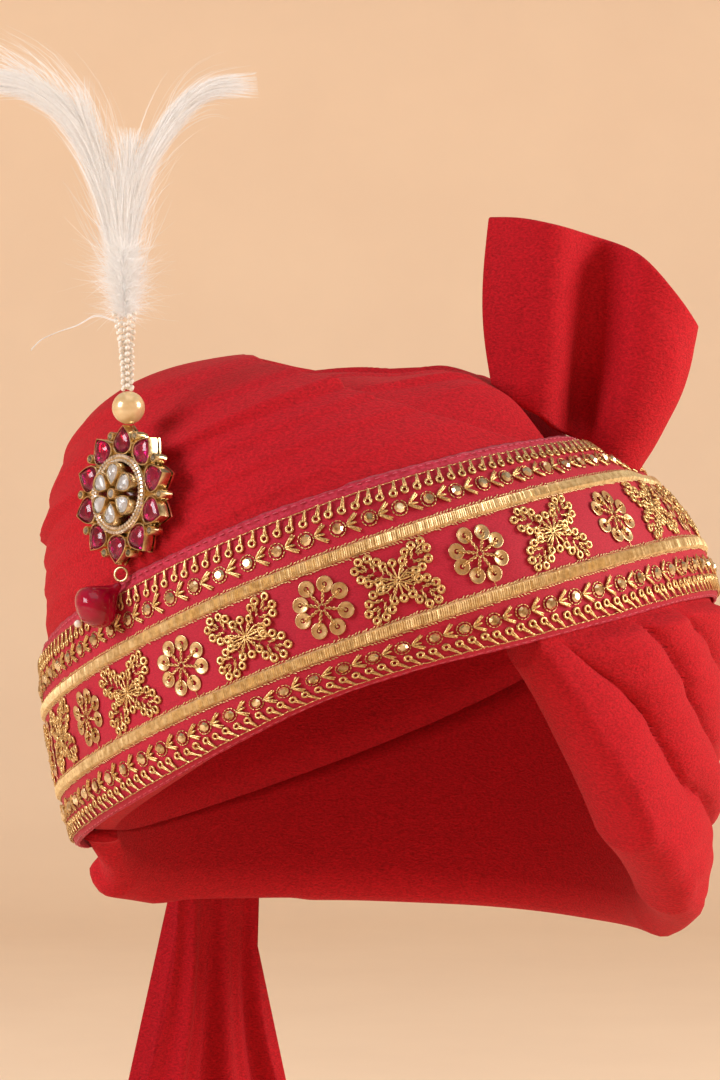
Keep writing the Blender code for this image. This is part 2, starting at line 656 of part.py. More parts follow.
def tail(finish):
    """The loose end: tucked under the border, over the nape cloth, then hanging free."""
    sides = np.linspace(-1.0, 1.0, 11)
    share = np.array([0.0, 0.35, 0.5, 0.75, 1.0])
    half = TAIL_TOP_HALF * (1.0 + TAIL_WIDENS * share)
    az = TAIL_AZIMUTH + sides[:, None] * half / HALF_DEPTH
    hem = round_the_form(az, HEM_LINE, HEM_HEIGHTS)
    low = TAIL_LEAVES_Z + 0 * sides
    heights = [hem[:, 0] + TAIL_TUCK, hem[:, 1], hem[:, 2] - PLEAT_LIP, (hem[:, 3] + low) / 2, low]
    heights = np.stack(heights, axis=1)
    el = elevation_where(az, lambda point: heights)
    lift = nape_lift(az, heights) + TAIL_CLEAR
    inner = lifted(az, el, lift)
    outer = lifted(az, el, lift + TAIL_THICK)
    facing = form_normal(np.array(TAIL_AZIMUTH), np.array(0.0))
    sideways = np.array([-facing[1], facing[0], 0.0])
    hung_inner, hung_outer = [], []
    start_half = half[-1]
    for share in (0.15, 0.32, 0.50, 0.68, 0.84, 1.0):
        width = TAIL_END_HALF * smooth(0.25 + 0.75 * share)
        wider = (width - start_half) * smooth(share / TAIL_FULL_AT)
        ripple = TAIL_FOLD * share * np.sin(sides * TAIL_WAVES * math.pi + TAIL_WAVE_TURN)
        spread = (sides * wider + TAIL_SHIFT * share)[:, None] * sideways
        fall = np.array([0.0, 0.0, (TAIL_END_Z - TAIL_LEAVES_Z) * share])
        wave = (ripple + TAIL_FOLD * share * 0.4)[:, None] * facing
        hung_inner.append(inner[:, -1] + spread + fall + wave)
        hung_outer.append(outer[:, -1] + spread + fall + wave)
    inner = np.concatenate([inner, np.stack(hung_inner, axis=1)], axis=1)
    outer = np.concatenate([outer, np.stack(hung_outer, axis=1)], axis=1)
    return shell("tail", outer, inner, finish, closed=False)


def fan_seat(az, el):
    """The height the fan's foot stands at: on the crown cloth, rising to pass over the border's edge."""
    point = form(az, el)
    within = smooth((point[..., 2] - swathe_plane(point) - FOLD_LIP) / (2 * FOLD_LIP))
    return LAYER_GAP + BAND_THICK * (1 - within) + crown_lift(az, el) * within


def on_cloth(x, y):
    """The point over a place in plan at which the fan's foot stands."""
    z = CROWN_TOP
    for _ in range(20):
        az, el = place(np.array([x, y, z]))
        at = lifted(az, el, fan_seat(az, el))
        slope = form_normal(az, el)
        z = at[2] + (slope[0] * (at[0] - x) + slope[1] * (at[1] - y)) / slope[2]
    return np.array([x, y, z])


def fan_sheet(rows_of):
    """Smooth the fan's columns into a curve, for one of the table's rows of shares."""
    knots = np.arange(len(FAN_COLUMNS))
    fine = np.linspace(0, len(FAN_COLUMNS) - 1, 2 * len(FAN_COLUMNS) - 1)
    values = np.array([column[rows_of] for column in FAN_COLUMNS])
    straight = np.interp(fine, knots, values)
    eased = straight.copy()
    eased[1:-1] = 0.25 * straight[:-2] + 0.5 * straight[1:-1] + 0.25 * straight[2:]
    return eased


def turra(finish):
    """The stiff cloth fan that stands on the crown at the right."""
    top_x = FAN_X + FAN_WIDTH * fan_sheet("across")
    top_y = FAN_Y - FAN_FOLD * fan_sheet("deep")
    foot_x = FAN_X + FAN_WIDTH * fan_sheet("foot_across")
    foot_y = FAN_Y - FAN_FOLD * fan_sheet("foot_deep")
    top_z = FAN_TOP_Z - FAN_HEIGHT * fan_sheet("lower")
    bow = fan_sheet("bow")
    shares = np.linspace(0.0, 1.0, 6)
    sides = []
    for side in (-0.5, 0.5):
        along = np.gradient(np.stack([foot_x, foot_y], axis=1), axis=0)
        along_top = np.gradient(np.stack([top_x, top_y], axis=1), axis=0)
        columns = []
        for i in range(len(top_x)):
            edges = []
            for tangent in (along[i], along_top[i]):
                unit = tangent / np.linalg.norm(tangent)
                edges.append(np.array([unit[1], -unit[0], 0.0]) * FAN_THICK * side)
            foot = on_cloth(foot_x[i] + edges[0][0], foot_y[i] + edges[0][1])
            top = np.array([top_x[i], top_y[i], top_z[i]]) + edges[1]
            bulge = np.array([FAN_WIDTH * bow[i], 0.0, 0.0])
            columns.append([foot + (top - foot) * t + bulge * math.sin(math.pi * t) for t in shares])
        sides.append(np.array(columns))
    return shell("turra", sides[1], sides[0], finish, closed=False)


class Kalgi:
    """The brooch's own frame: right, up and out of the cloth, seated on the swathe."""

    def __init__(self):
        el = elevation_where(np.array(KALGI_AZIMUTH), lambda point: KALGI_Z)
        facing = form_normal(np.array(KALGI_AZIMUTH), el)
        level = np.array([facing[0], facing[1], 0.0])
        level = level / np.linalg.norm(level)
        upright = np.array([0.0, 0.0, 1.0])
        self.out = level * math.cos(KALGI_TILT) + upright * math.sin(KALGI_TILT)
        self.up = upright * math.cos(KALGI_TILT) - level * math.sin(KALGI_TILT)
        self.right = np.cross(self.up, self.out)
        self.centre = form(np.array(KALGI_AZIMUTH), el)
        self.centre = self.centre + self.out * self.clearance()

    def clearance(self):
        """How far the back of the brooch moves out to stand just clear of the cloth."""
        needed = -CLOTH_SAG
        for radius, depth in ((TIER_RADIUS, 0.0), (PETAL_OUTER + METAL_WALL, TIER_DEPTH - PLATE_DEPTH)):
            for angle in np.linspace(0.0, 2 * math.pi, 25):
                spot = self.centre + self.right * radius * math.cos(angle) + self.up * radius * math.sin(angle)
                spot = spot + self.out * depth
                az, el = place(spot)
                cloth = swathe_lift(az, el) - CLOTH_SAG
                needed = max(needed, float(cloth - height_over_form(spot)))
        return needed + KALGI_SEAT

    def at(self, right, up, out):
        return self.centre + self.right * right + self.up * up + self.out * out


def prism(kalgi, rings):
    """Points and faces of a closed stack of outlines; each ring is a list of (right, up) with a depth."""
    points, faces = [], []
    count = len(rings[0][0])
    for outline, depth in rings:
        points += [kalgi.at(u, v, depth) for u, v in outline]
    for k in range(len(rings) - 1):
        for i in range(count):
            j = (i + 1) % count
            faces.append([k * count + i, k * count + j, (k + 1) * count + j, (k + 1) * count + i])
    faces.append(list(range(count))[::-1])
    faces.append([(len(rings) - 1) * count + i for i in range(count)])
    return points, faces


def drop_outline(inner, outer, half, turn, grow, count, tip_out=True):
    """A pear outline pointing out from, or in to, the middle of the brooch."""
    middle, reach = (inner + outer) / 2, (outer - inner) / 2 + grow
    width = (half + grow) / 0.77
    outline = []
    for i in range(count):
        angle = 2 * math.pi * i / count
        radial = reach * math.cos(angle) * (1.0 if tip_out else -1.0)
        lateral = width * math.sin(angle) * math.sin(angle / 2) * (1.0 if tip_out else -1.0)
        u = (middle + radial) * math.sin(turn) + lateral * math.cos(turn)
        v = (middle + radial) * math.cos(turn) - lateral * math.sin(turn)
        outline.append((u, v))
    return outline


def round_outline(radius, count, at=0.0, turn=0.0):
    """A circle, its middle at a distance from the brooch's own."""
    u0, v0 = at * math.sin(turn), at * math.cos(turn)
    angles = [2 * math.pi * i / count for i in range(count)]
    return [(u0 + radius * math.sin(a + turn), v0 + radius * math.cos(a + turn)) for a in angles]


def shrunk(outline, share):
    """An outline drawn in towards its own middle."""
    u0 = sum(u for u, _ in outline) / len(outline)
    v0 = sum(v for _, v in outline) / len(outline)
    return [(u0 + (u - u0) * share, v0 + (v - v0) * share) for u, v in outline]


def cup(kalgi, outer, pocket, base, top, floor):
    """A stone's collet: a wall round an open pocket."""
    return prism(kalgi, ((outer, base), (outer, top), (pocket, top), (pocket, floor)))


def setting_shapes():
    """Outlines of every stone in the brooch: its name, how its outline grows, and its sides."""
    shapes = []
    for i in range(PETALS):
        turn = 2 * math.pi * i / PETALS
        shapes.append((f"ruby_petal_{i + 1}", turn, "petal"))
    for i in range(PETALS):
        turn = 2 * math.pi * (i + 0.5) / PETALS
        shapes.append((f"round_stone_{i + 1}", turn, "round"))
    for i in range(POLKI):
        turn = 2 * math.pi * i / POLKI
        shapes.append((f"polki_petal_{i + 1}", turn, "polki"))
    shapes.append(("polki_centre", 0.0, "centre"))
    return shapes


def setting_outline(kind, turn, grow):
    """The outline of one setting, grown by a wall or a gap from its stone's edge."""
    if kind == "petal":
        return drop_outline(PETAL_INNER, PETAL_OUTER - METAL_WALL, PETAL_HALF - METAL_WALL, turn, grow, 10)
    if kind == "polki":
        return drop_outline(POLKI_INNER, POLKI_OUTER, POLKI_HALF - METAL_WALL, turn, grow, 8, tip_out=False)
    if kind == "round":
        return round_outline(ROUND_RADIUS + grow, 8, ROUND_AT, turn)
    return round_outline(CENTRE_RADIUS + grow, 8)


PLATE_TOP = TIER_DEPTH - PLATE_DEPTH / 4 + PLATE_DEPTH
CUP_TOP = PLATE_TOP + CUP_DEPTH - PLATE_DEPTH
CUP_BASE = TIER_DEPTH + PLATE_DEPTH / 4
FLOOR = PLATE_TOP + FLOOR_DEPTH
CUP_BASES = {
    "petal": CUP_BASE,
    "round": CUP_BASE + METAL_WALL / 3,
    "polki": CUP_BASE + METAL_WALL / 2,
    "centre": CUP_BASE + METAL_WALL,
}
CUP_TOPS = {
    "petal": CUP_TOP,
    "round": CUP_TOP - HALO_RISE / 2,
    "polki": CUP_TOP + POLKI_LIFT,
    "centre": CUP_TOP + POLKI_LIFT + HALO_RISE / 2,
}
FLOORS = {"petal": FLOOR, "round": FLOOR, "polki": FLOOR + POLKI_LIFT, "centre": FLOOR + POLKI_LIFT}


def union(base, others):
    """Fuse objects into the first one."""
    group = bpy.data.collections.new("joining")
    for other in others:
        bpy.context.scene.collection.objects.unlink(other)
        group.objects.link(other)
    fuse = base.modifiers.new("fuse", "BOOLEAN")
    fuse.operation = "UNION"
    fuse.solver = "EXACT"
    fuse.operand_type = "COLLECTION"
    fuse.collection = group
    bpy.context.view_layer.update()
    fused = bpy.data.meshes.new_from_object(base.evaluated_get(bpy.context.evaluated_depsgraph_get()))
    base.modifiers.clear()
    base.data = fused
    for other in others:
        bpy.data.objects.remove(other)
    bpy.data.collections.remove(group)
    return base


def brooch_frame(kalgi, finish):
    """The gold body of the brooch: back tier, plate, collets, halo ring, and the loop for the drop."""
    tier = round_outline(TIER_RADIUS, 16)
    plate = round_outline(PLATE_RADIUS, 20)
    base = solid("brooch_frame", *prism(kalgi, ((tier, 0.0), (tier, TIER_DEPTH))), finish)
    parts = [prism(kalgi, ((plate, TIER_DEPTH - PLATE_DEPTH / 4), (plate, PLATE_TOP)))]
    for _, turn, kind in setting_shapes():
        pocket = setting_outline(kind, turn, STONE_GAP)
        outer = setting_outline(kind, turn, STONE_GAP + METAL_WALL)
        parts.append(cup(kalgi, outer, pocket, CUP_BASES[kind], CUP_TOPS[kind], FLOORS[kind]))
    parts.append(halo_ring(kalgi))
    parts.append(drop_loop(kalgi))
    others = [solid(f"joined_{i}", *part, finish) for i, part in enumerate(parts)]
    made = union(base, others)
    made.data.shade_smooth()
    made.data.set_sharp_from_angle(angle=math.radians(30))
    return made


def halo_ring(kalgi):
    """The raised ring round the middle flower."""
    count, points, faces = 24, [], []
    section = (
        (HALO_INNER, TIER_DEPTH + METAL_WALL / 4),
        (HALO_OUTER, TIER_DEPTH + METAL_WALL / 4),
        (HALO_OUTER, CUP_TOP + HALO_RISE / 4),
        ((HALO_INNER + HALO_OUTER) / 2, CUP_TOP + HALO_RISE),
        (HALO_INNER, CUP_TOP + HALO_RISE / 4),
    )
    for i in range(count):
        angle = 2 * math.pi * i / count
        points += [kalgi.at(r * math.sin(angle), r * math.cos(angle), d) for r, d in section]
    size = len(section)
    for i in range(count):
        j = (i + 1) % count
        for k in range(size):
            m = (k + 1) % size
            faces.append([i * size + k, j * size + k, j * size + m, i * size + m])
    return points, faces


LOOP_UP = -(PETAL_OUTER - METAL_WALL)
LOOP_HALF = 0.0009
LOOP_REACH = 0.0030


def drop_loop(kalgi):
    """A stub behind the lowest round setting that the jump ring hangs against."""
    top = LOOP_UP + LOOP_REACH
    low = LOOP_UP - LOOP_HALF
    outline = [(-LOOP_HALF, low), (LOOP_HALF, low), (LOOP_HALF, top), (-LOOP_HALF, top)]
    return prism(kalgi, ((outline, TIER_DEPTH), (outline, CUP_BASE + PLATE_DEPTH / 2)))


def faceted_stone(kalgi, name, kind, turn, finish):
    """A cut stone that rises out of its collet to a table."""
    girdle = setting_outline(kind, turn, 0.0)
    shelf = FLOORS[kind] + STONE_GAP
    level = CUP_TOPS[kind]
    rings = (
        (shrunk(girdle, 0.8), shelf),
        (girdle, level - STONE_GAP),
        (shrunk(girdle, 0.58), level + STONE_RISE),
    )
    return solid(name, *prism(kalgi, rings), finish, sharp=15.0)


def turned(name, origin, axis, profile, finish, sides=14, flutes=0, flute_depth=0.0):
    """A turned solid along an axis from (distance, radius) pairs; its ends close in points."""
    axis = axis / np.linalg.norm(axis)
    helper = np.array([0.0, 0.0, 1.0]) if abs(axis[2]) < 0.9 else np.array([1.0, 0.0, 0.0])
    first = np.cross(axis, helper)
    first = first / np.linalg.norm(first)
    second = np.cross(axis, first)
    points = [origin + axis * profile[0][0]]
    for distance, radius in profile[1:-1]:
        for i in range(sides):
            angle = 2 * math.pi * i / sides
            reach = radius
            if flutes:
                reach = radius * (1.0 - flute_depth * (0.5 + 0.5 * math.cos(flutes * angle)))
            spoke = first * math.cos(angle) + second * math.sin(angle)
            points.append(origin + axis * distance + spoke * reach)
    points.append(origin + axis * profile[-1][0])
    rings = len(profile) - 2
    faces = []
    for i in range(sides):
        j = (i + 1) % sides
        faces.append([0, 1 + i, 1 + j])
        for k in range(rings - 1):
            low, high = 1 + k * sides, 1 + (k + 1) * sides
            faces.append([low + i, high + i, high + j, low + j])
        last = 1 + (rings - 1) * sides
        faces.append([last + j, last + i, len(points) - 1])
    return solid(name, points, faces, finish)


def ball_profile(radius, rings, height=None):
    """Distances and radii of a ball, or an egg where a half height is given."""
    half = radius if height is None else height
    angles = [math.pi * i / rings for i in range(rings + 1)]
    return [(-half * math.cos(a), radius * math.sin(a)) for a in angles]


def feather(origin, name, row, finish):
    """A flat tapered lock that follows its path."""
    path = np.array([(s * PLUME_HEIGHT, 0.0, h * PLUME_HEIGHT) for s, h in row["path"]])
    knots = np.linspace(0.0, 1.0, len(path))
    shares = np.linspace(0.0, 1.0, 10)
    spine = np.stack([np.interp(shares, knots, path[:, i]) for i in range(3)], axis=1)
    spine[1:-1] = 0.25 * spine[:-2] + 0.5 * spine[1:-1] + 0.25 * spine[2:]
    along = np.gradient(spine, axis=0)
    along = along / np.linalg.norm(along, axis=1, keepdims=True)
    across = np.cross(along, np.array([0.0, -1.0, 0.0]))
    taper = np.sin(math.pi * (0.12 + 0.85 * shares)) ** 0.7
    half = (row["width"] / 2 * taper)[:, None]
    thick = np.array([0.0, 1.0, 0.0]) * (PLUME_THICK / 2)
    points, faces = [], []
    for i in range(len(spine)):
        spot = origin + spine[i]
        points += [spot + across[i] * half[i], spot + thick, spot - across[i] * half[i], spot - thick]
    for i in range(len(spine) - 1):
        for k in range(4):
            m = (k + 1) % 4
            faces.append([i * 4 + k, i * 4 + m, (i + 1) * 4 + m, (i + 1) * 4 + k])
    last = (len(spine) - 1) * 4
    faces.append([3, 2, 1, 0])
    faces.append([last, last + 1, last + 2, last + 3])
    return solid(name, points, faces, finish)


def plume(stalk, foot, finish):
    """Feathers fused to a fluffy head."""
    centre = foot + stalk * (PLUME_HEAD + SEAT)
    head = turned("plume", centre, stalk, ball_profile(PLUME_HALF, 8, PLUME_HEAD), finish, sides=12)
    locks = [feather(centre, f"lock_{i}", row, finish) for i, row in enumerate(FEATHERS)]
    return union(head, locks)


def ring(name, centre, axis, radius, wire, finish):
    """A round wire ring."""
    axis = axis / np.linalg.norm(axis)
    first = np.cross(axis, np.array([0.0, 0.0, 1.0]))
    first = first / np.linalg.norm(first)
    second = np.cross(axis, first)
    count, sides, points, faces = 14, 6, [], []
    for i in range(count):
        angle = 2 * math.pi * i / count
        reach = first * math.cos(angle) + second * math.sin(angle)
        for k in range(sides):
            turn = 2 * math.pi * k / sides
            points.append(centre + reach * (radius + wire * math.cos(turn)) + axis * wire * math.sin(turn))
    for i in range(count):
        j = (i + 1) % count
        for k in range(sides):
            m = (k + 1) % sides
            faces.append([i * sides + k, j * sides + k, j * sides + m, i * sides + m])
    return solid(name, points, faces, finish)


def glass_drop(kalgi, gold, ruby, white):
    """Jump ring, ruby glass drop and end bead, lying on the border under the brooch."""
    hang = kalgi.at(0.0, LOOP_UP - LOOP_HALF - SEAT - RING_RADIUS - RING_WIRE, CUP_BASE)
    ring("drop_ring", hang, kalgi.out, RING_RADIUS, RING_WIRE, gold)
    ring_foot = hang - kalgi.up * (RING_RADIUS + RING_WIRE + SEAT)
    neck_az, neck_el = place(ring_foot)
    outward = form_normal(neck_az, neck_el)
    down = -kalgi.up * math.cos(DROP_LEAN) - kalgi.right * math.sin(DROP_LEAN)
    down = down - outward * float(np.dot(down, outward))
    down = down / np.linalg.norm(down)
    rest = BAND_THICK + DROP_CLEAR + DROP_RADIUS
    belly = ring_foot + down * DROP_LENGTH * DROP_BELLY
    belly = belly + outward * (rest - float(height_over_form(belly)))
    axis = belly - ring_foot
    axis = axis / np.linalg.norm(axis)
    scaled = [(row["along"] * DROP_LENGTH, row["reach"] * DROP_RADIUS) for row in DROP_PROFILE]
    turned("ruby_drop", ring_foot, axis, scaled, ruby)
    tip = ring_foot + axis * (DROP_LENGTH + SEAT + END_BEAD_RADIUS)
    turned("drop_end_bead", tip, axis, ball_profile(END_BEAD_RADIUS, 6), white, sides=10)


def build():
    """Make every sub-part."""
    for old in list(bpy.data.objects):
        bpy.data.objects.remove(old)
    red = material("red_crepe", (0.52, 0.02, 0.03), 0.85)
    red_border = material("border_crepe", (0.55, 0.03, 0.06), 0.8)
    gold_thread = material("gold_thread", (0.75, 0.55, 0.28), 0.45, 0.6)
    antique_gold = material("antique_gold", (0.62, 0.47, 0.24), 0.35, 1.0)
    ruby = material("ruby_glass", (0.45, 0.005, 0.06), 0.12)
    polki = material("polki_stone", (0.82, 0.84, 0.88), 0.15)
    champagne = material("champagne_pearl", (0.85, 0.70, 0.50), 0.25)
    cream = material("cream_beads", (0.88, 0.80, 0.66), 0.35)
    white = material("white_feather", (0.92, 0.90, 0.88), 0.9)
    crown_wrap(red)
    front_swathe(red)
    nape_wrap(red)
    border_band(red_border)
    braid("gold_braid_upper", BRAID_OFFSET, gold_thread)
    braid("gold_braid_lower", -BRAID_OFFSET, gold_thread)
    turra(red)
    tail(red)
    kalgi = Kalgi()
    brooch_frame(kalgi, antique_gold)
    finishes = {"petal": ruby, "round": champagne, "polki": polki, "centre": polki}
    for name, turn, kind in setting_shapes():
        faceted_stone(kalgi, name, kind, turn, finishes[kind])
    stalk = np.array([-STALK_LEAN, 0.0, 1.0])
    stalk = stalk / np.linalg.norm(stalk)
    pearl_at = kalgi.at(0.0, PETAL_OUTER + STONE_GAP, CUP_BASE) + stalk * (SEAT + PEARL_RADIUS)
    turned("pearl", pearl_at, stalk, ball_profile(PEARL_RADIUS, 8), champagne, sides=14)
    bundle_foot = pearl_at + stalk * (PEARL_RADIUS + SEAT)
    distances = np.linspace(0.0, BUNDLE_LENGTH, 4)
    radii = np.linspace(BUNDLE_FOOT, BUNDLE_TOP, 4)
    bundle = [(0.0, 0.0), *zip(distances, radii), (BUNDLE_LENGTH, 0.0)]
    turned("bead_strands", bundle_foot, stalk, bundle, cream, 18, BUNDLE_STRANDS, BUNDLE_FLUTE)
    plume(stalk, bundle_foot + stalk * BUNDLE_LENGTH, white)
    glass_drop(kalgi, antique_gold, ruby, cream)


build()
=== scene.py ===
"""Looks of the tied turban: fine cloth, embroidered border, jewelled brooch and plume, lit in a plain studio.

Metres, +Z up. The front faces -Y and +X is the viewer's right.
The origin is the inside top of the head hollow.
"""

import math

import bmesh
import bpy
import numpy as np
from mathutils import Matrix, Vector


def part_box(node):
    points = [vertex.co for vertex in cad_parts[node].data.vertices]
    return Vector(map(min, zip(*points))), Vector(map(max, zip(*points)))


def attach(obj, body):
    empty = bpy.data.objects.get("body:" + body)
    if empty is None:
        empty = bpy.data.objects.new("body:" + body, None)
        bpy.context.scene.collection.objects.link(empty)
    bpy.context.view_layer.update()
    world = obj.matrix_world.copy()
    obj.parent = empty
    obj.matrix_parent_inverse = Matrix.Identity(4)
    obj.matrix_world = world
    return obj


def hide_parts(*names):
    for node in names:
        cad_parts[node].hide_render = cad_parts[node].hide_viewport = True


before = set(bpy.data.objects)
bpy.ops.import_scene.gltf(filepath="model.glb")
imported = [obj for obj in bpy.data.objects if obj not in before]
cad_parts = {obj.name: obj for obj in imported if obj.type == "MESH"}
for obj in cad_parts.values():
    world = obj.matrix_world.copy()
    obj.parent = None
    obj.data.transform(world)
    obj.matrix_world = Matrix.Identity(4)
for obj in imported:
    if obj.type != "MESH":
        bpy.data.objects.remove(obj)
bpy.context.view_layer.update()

# Outer form of the wound cloth
HALF_WIDTH = 0.110
HALF_DEPTH = 0.124
BELLY_Z = -0.074
RISE = 0.087
DROP = 0.160
SQUARENESS = 2.55
SQUARENESS_SIDE = 0.55
LEAN = 0.075
DIP_DEPTH = 0.009
DIP_RADIUS = 0.040
DIP_X = 0.064
DIP_Y = -0.022
CROWN_TOP = BELLY_Z + RISE

# Head hollow
HEAD_HALF_WIDTH = 0.089
HEAD_HALF_DEPTH = 0.101
HEAD_RISE = 0.085
HEAD_DROP = 0.260
HEAD_SQUARENESS = 2.1

# Wound layers, as depths under the outer form
PLY = 0.0044
LAYER_GAP = 0.0006
UNDER_BAND = 0.0008
CROWN_UNDER = UNDER_BAND + PLY + LAYER_GAP

# Border
BAND_Z = -0.0755
BAND_SLOPE_X = 0.35
BAND_SLOPE_Y = -0.13
BAND_CURL = 0.0045
BAND_ABOVE = 0.0335
BAND_BELOW = 0.031
BAND_THICK = 0.0018
FRONT_PULL = 0.15
FRONT_PULL_AT = math.radians(-10)
FRONT_PULL_SPREAD = math.radians(26)
BRAID_OFFSET = 0.013
BRAID_FACE = 0.0039
BRAID_RISE = 0.0008
RIM_RISE = 0.004

# Front swathe
SWATHE_EDGE_Z = 0.0036
SWATHE_EDGE_X = -0.28
SWATHE_EDGE_Y = 0.05
SWATHE_TUCK = 0.006
FOLD_SLOPE_X = 0.40
FOLD_SLOPE_Y = -0.11
# Each fold's level as a share of the rise, its height, and how far it rises and falls
SWATHE_FOLDS = (
    (-0.080, 0.0016, 0.0050, 0.014),
    (0.057, 0.0013, 0.0030, 0.012),
    (0.184, 0.0030, 0.0022, 0.014),
    (0.290, 0.0012, 0.0035, 0.010),
    (0.400, 0.0010, 0.0030, 0.010),
    (0.530, 0.0007, 0.0030, 0.008),
)

# Crown cloth
CROWN_SWELL = 0.0010
CROWN_SWELL_FAN = 0.0065
# Each fold's angle round the fan's foot in degrees, and its height
CROWN_FOLDS = (
    (-62, 0.0022),
    (-46, 0.0009),
    (-34, 0.0022),
    (-20, 0.0010),
    (-8, 0.0022),
    (5, 0.0010),
    (18, 0.0022),
    (46, 0.0022),
)

# Nape cloth
NAPE_START = math.radians(22)
NAPE_END = math.radians(268)
NAPE_TUCK = 0.006
NAPE_DROP = 0.101
NAPE_ROLL = 0.010
NAPE_SWELL = 0.0072
NAPE_RIM = {
    "azimuth": (22, 30, 37, 49, 70, 100, 130, 180, 235, 250, 260, 268),
    "depth": (0.020, 0.210, 0.386, 0.663, 0.880, 1.000, 0.990, 0.970, 0.940, 0.900, 0.800, 0.680),
}
PLEATS = {
    "azimuth": (30, 45, 60, 75, 110, 180, 250),
    "low": (0.02, 0.23, 0.46, 0.57, 0.75, 0.82, 0.70),
    "middle": (-0.30, -0.045, 0.20, 0.396, 0.58, 0.66, 0.56),
    "high": (-0.50, -0.28, -0.02, 0.11, 0.34, 0.46, 0.36),
}
PLEAT_ROLL = 0.0070
PLEAT_PUFF = 0.48
NAPE_SWELL_STARTS = 0.20
NAPE_SWELL_FULL = 0.85
NAPE_FADE_RIGHT = math.radians(25)
NAPE_FADE_LEFT = math.radians(18)

# Hanging end
TAIL_AZIMUTH = math.radians(213)
TAIL_TUCK = 0.012
TAIL_THICK = 0.0018
TAIL_CLEAR = 0.0009
TAIL_TOP_HALF = 0.015
TAIL_WIDENS = 0.35
TAIL_FULL_AT = 0.83
TAIL_LEAVES_Z = -0.150
TAIL_END_Z = -0.322
TAIL_END_HALF = 0.052
TAIL_FOLD = 0.007
TAIL_WAVES = 2.2
TAIL_WAVE_TURN = 0.6
TAIL_SHIFT = 0.006
TAIL_POCKET = math.radians(13)
TAIL_POCKET_FADE = math.radians(6)
PLEAT_LIP = 0.005
FOLD_LIP = 0.004

# Cloth fan
FAN_X = 0.0345
FAN_WIDTH = 0.070
FAN_Y = -0.018
FAN_FOLD = 0.022
FAN_TOP_Z = 0.0585
FAN_HEIGHT = 0.066
FAN_THICK = 0.0022
FAN_VALLEY = -0.0060
FAN_VALLEY_AT = 3.7
FAN_VALLEY_WIDTH = 0.75
FAN_COLUMNS = {
    "across": (0.00, 0.15, 0.33, 0.46, 0.58, 0.72, 0.90, 1.01, 0.92, 0.70, 0.46),
    "deep": (0.00, 0.45, 0.75, 0.10, 0.00, 0.55, 0.30, -0.50, -1.20, -1.45, -1.15),
    "foot_across": (0.02, 0.12, 0.27, 0.36, 0.45, 0.58, 0.69, 0.72, 0.67, 0.52, 0.30),
    "foot_deep": (0.10, 0.35, 0.55, -0.10, -0.20, 0.30, 0.05, -0.60, -1.20, -1.60, -1.50),
    "lower": (0.00, 0.01, 0.06, 0.08, 0.12, 0.20, 0.42, 0.56, 0.36, 0.22, 0.16),
    "bow": (-0.035, -0.020, 0.000, 0.000, 0.000, 0.020, 0.045, 0.050, 0.040, 0.020, 0.000),
}

COLUMNS = 350


def unit(vectors):
    """Vectors brought to length one."""
    return vectors / np.linalg.norm(vectors, axis=-1, keepdims=True)


def turns(count):
    """Angles in equal steps round a full circle."""
    return np.arange(count) * 2 * math.pi / count


def xyz(x, y, z):
    """Points of three coordinates."""
    return np.stack(np.broadcast_arrays(x, y, z), axis=-1)


def smooth(t):
    """Ease from 0 to 1."""
    t = np.clip(t, 0.0, 1.0)
    return t * t * (3.0 - 2.0 * t)


def sinking(x, y):
    """How far the top is lowered by its lean and its dip, where it is fully raised."""
    near = 1.0 - np.hypot(x - DIP_X, y - DIP_Y) / DIP_RADIUS
    return LEAN * x + DIP_DEPTH * smooth(near)


def form(az, el):
    """A point of the outer form at an azimuth and an elevation above the belly."""
    az, el = np.broadcast_arrays(np.asarray(az, float), np.asarray(el, float))
    upper = el >= 0
    power = np.where(upper, SQUARENESS - SQUARENESS_SIDE * np.sin(az), 2.0)
    height = np.where(upper, RISE, DROP)
    level, climb = np.abs(np.cos(el)), np.abs(np.sin(el))
    reach = (level**power + climb**power) ** (-1.0 / power)
    x = HALF_WIDTH * reach * level * np.sin(az)
    y = -HALF_DEPTH * reach * level * np.cos(az)
    z = BELLY_Z + height * reach * np.sin(el)
    z = z - sinking(x, y) * smooth(reach * np.sin(el))
    return xyz(x, y, z)


def form_normal(az, el):
    """The form's outward normal."""
    el = np.minimum(el, math.radians(88.0))
    nudge = 1e-3
    along = form(az + nudge, el) - form(az - nudge, el)
    upward = form(az, el + nudge) - form(az, el - nudge)
    return unit(np.cross(along, upward))


def lifted(az, el, lift):
    """A point at a height above the form, along its normal."""
    return form(az, el) + form_normal(az, el) * np.asarray(lift, float)[..., None]


def place(point):
    """Azimuth and elevation of the form's point in line with a given point."""
    x, y, z = point[..., 0], point[..., 1], point[..., 2]
    raised = z
    for _ in range(6):
        raised = z + sinking(x, y) * smooth((raised - BELLY_Z) / RISE)
    height = np.where(raised > BELLY_Z, RISE, DROP)
    el = np.arctan2((raised - BELLY_Z) / height, np.hypot(x / HALF_WIDTH, y / HALF_DEPTH))
    return np.arctan2(x / HALF_WIDTH, -y / HALF_DEPTH), el


def elevation_where(az, height_at):
    """The elevation at which the form crosses a surface z = height_at(point)."""
    low = np.full(np.shape(az), -1.3)
    high = np.full(np.shape(az), math.pi / 2)
    for _ in range(36):
        middle = (low + high) / 2
        point = form(az, middle)
        over = point[..., 2] > height_at(point)
        high = np.where(over, middle, high)
        low = np.where(over, low, middle)
    return (low + high) / 2


def band_plane(point):
    """The tilted surface through the border's centre line."""
    x, y = point[..., 0], point[..., 1]
    return BAND_Z + BAND_SLOPE_X * x + BAND_SLOPE_Y * y + BAND_CURL * (x / HALF_WIDTH) ** 3


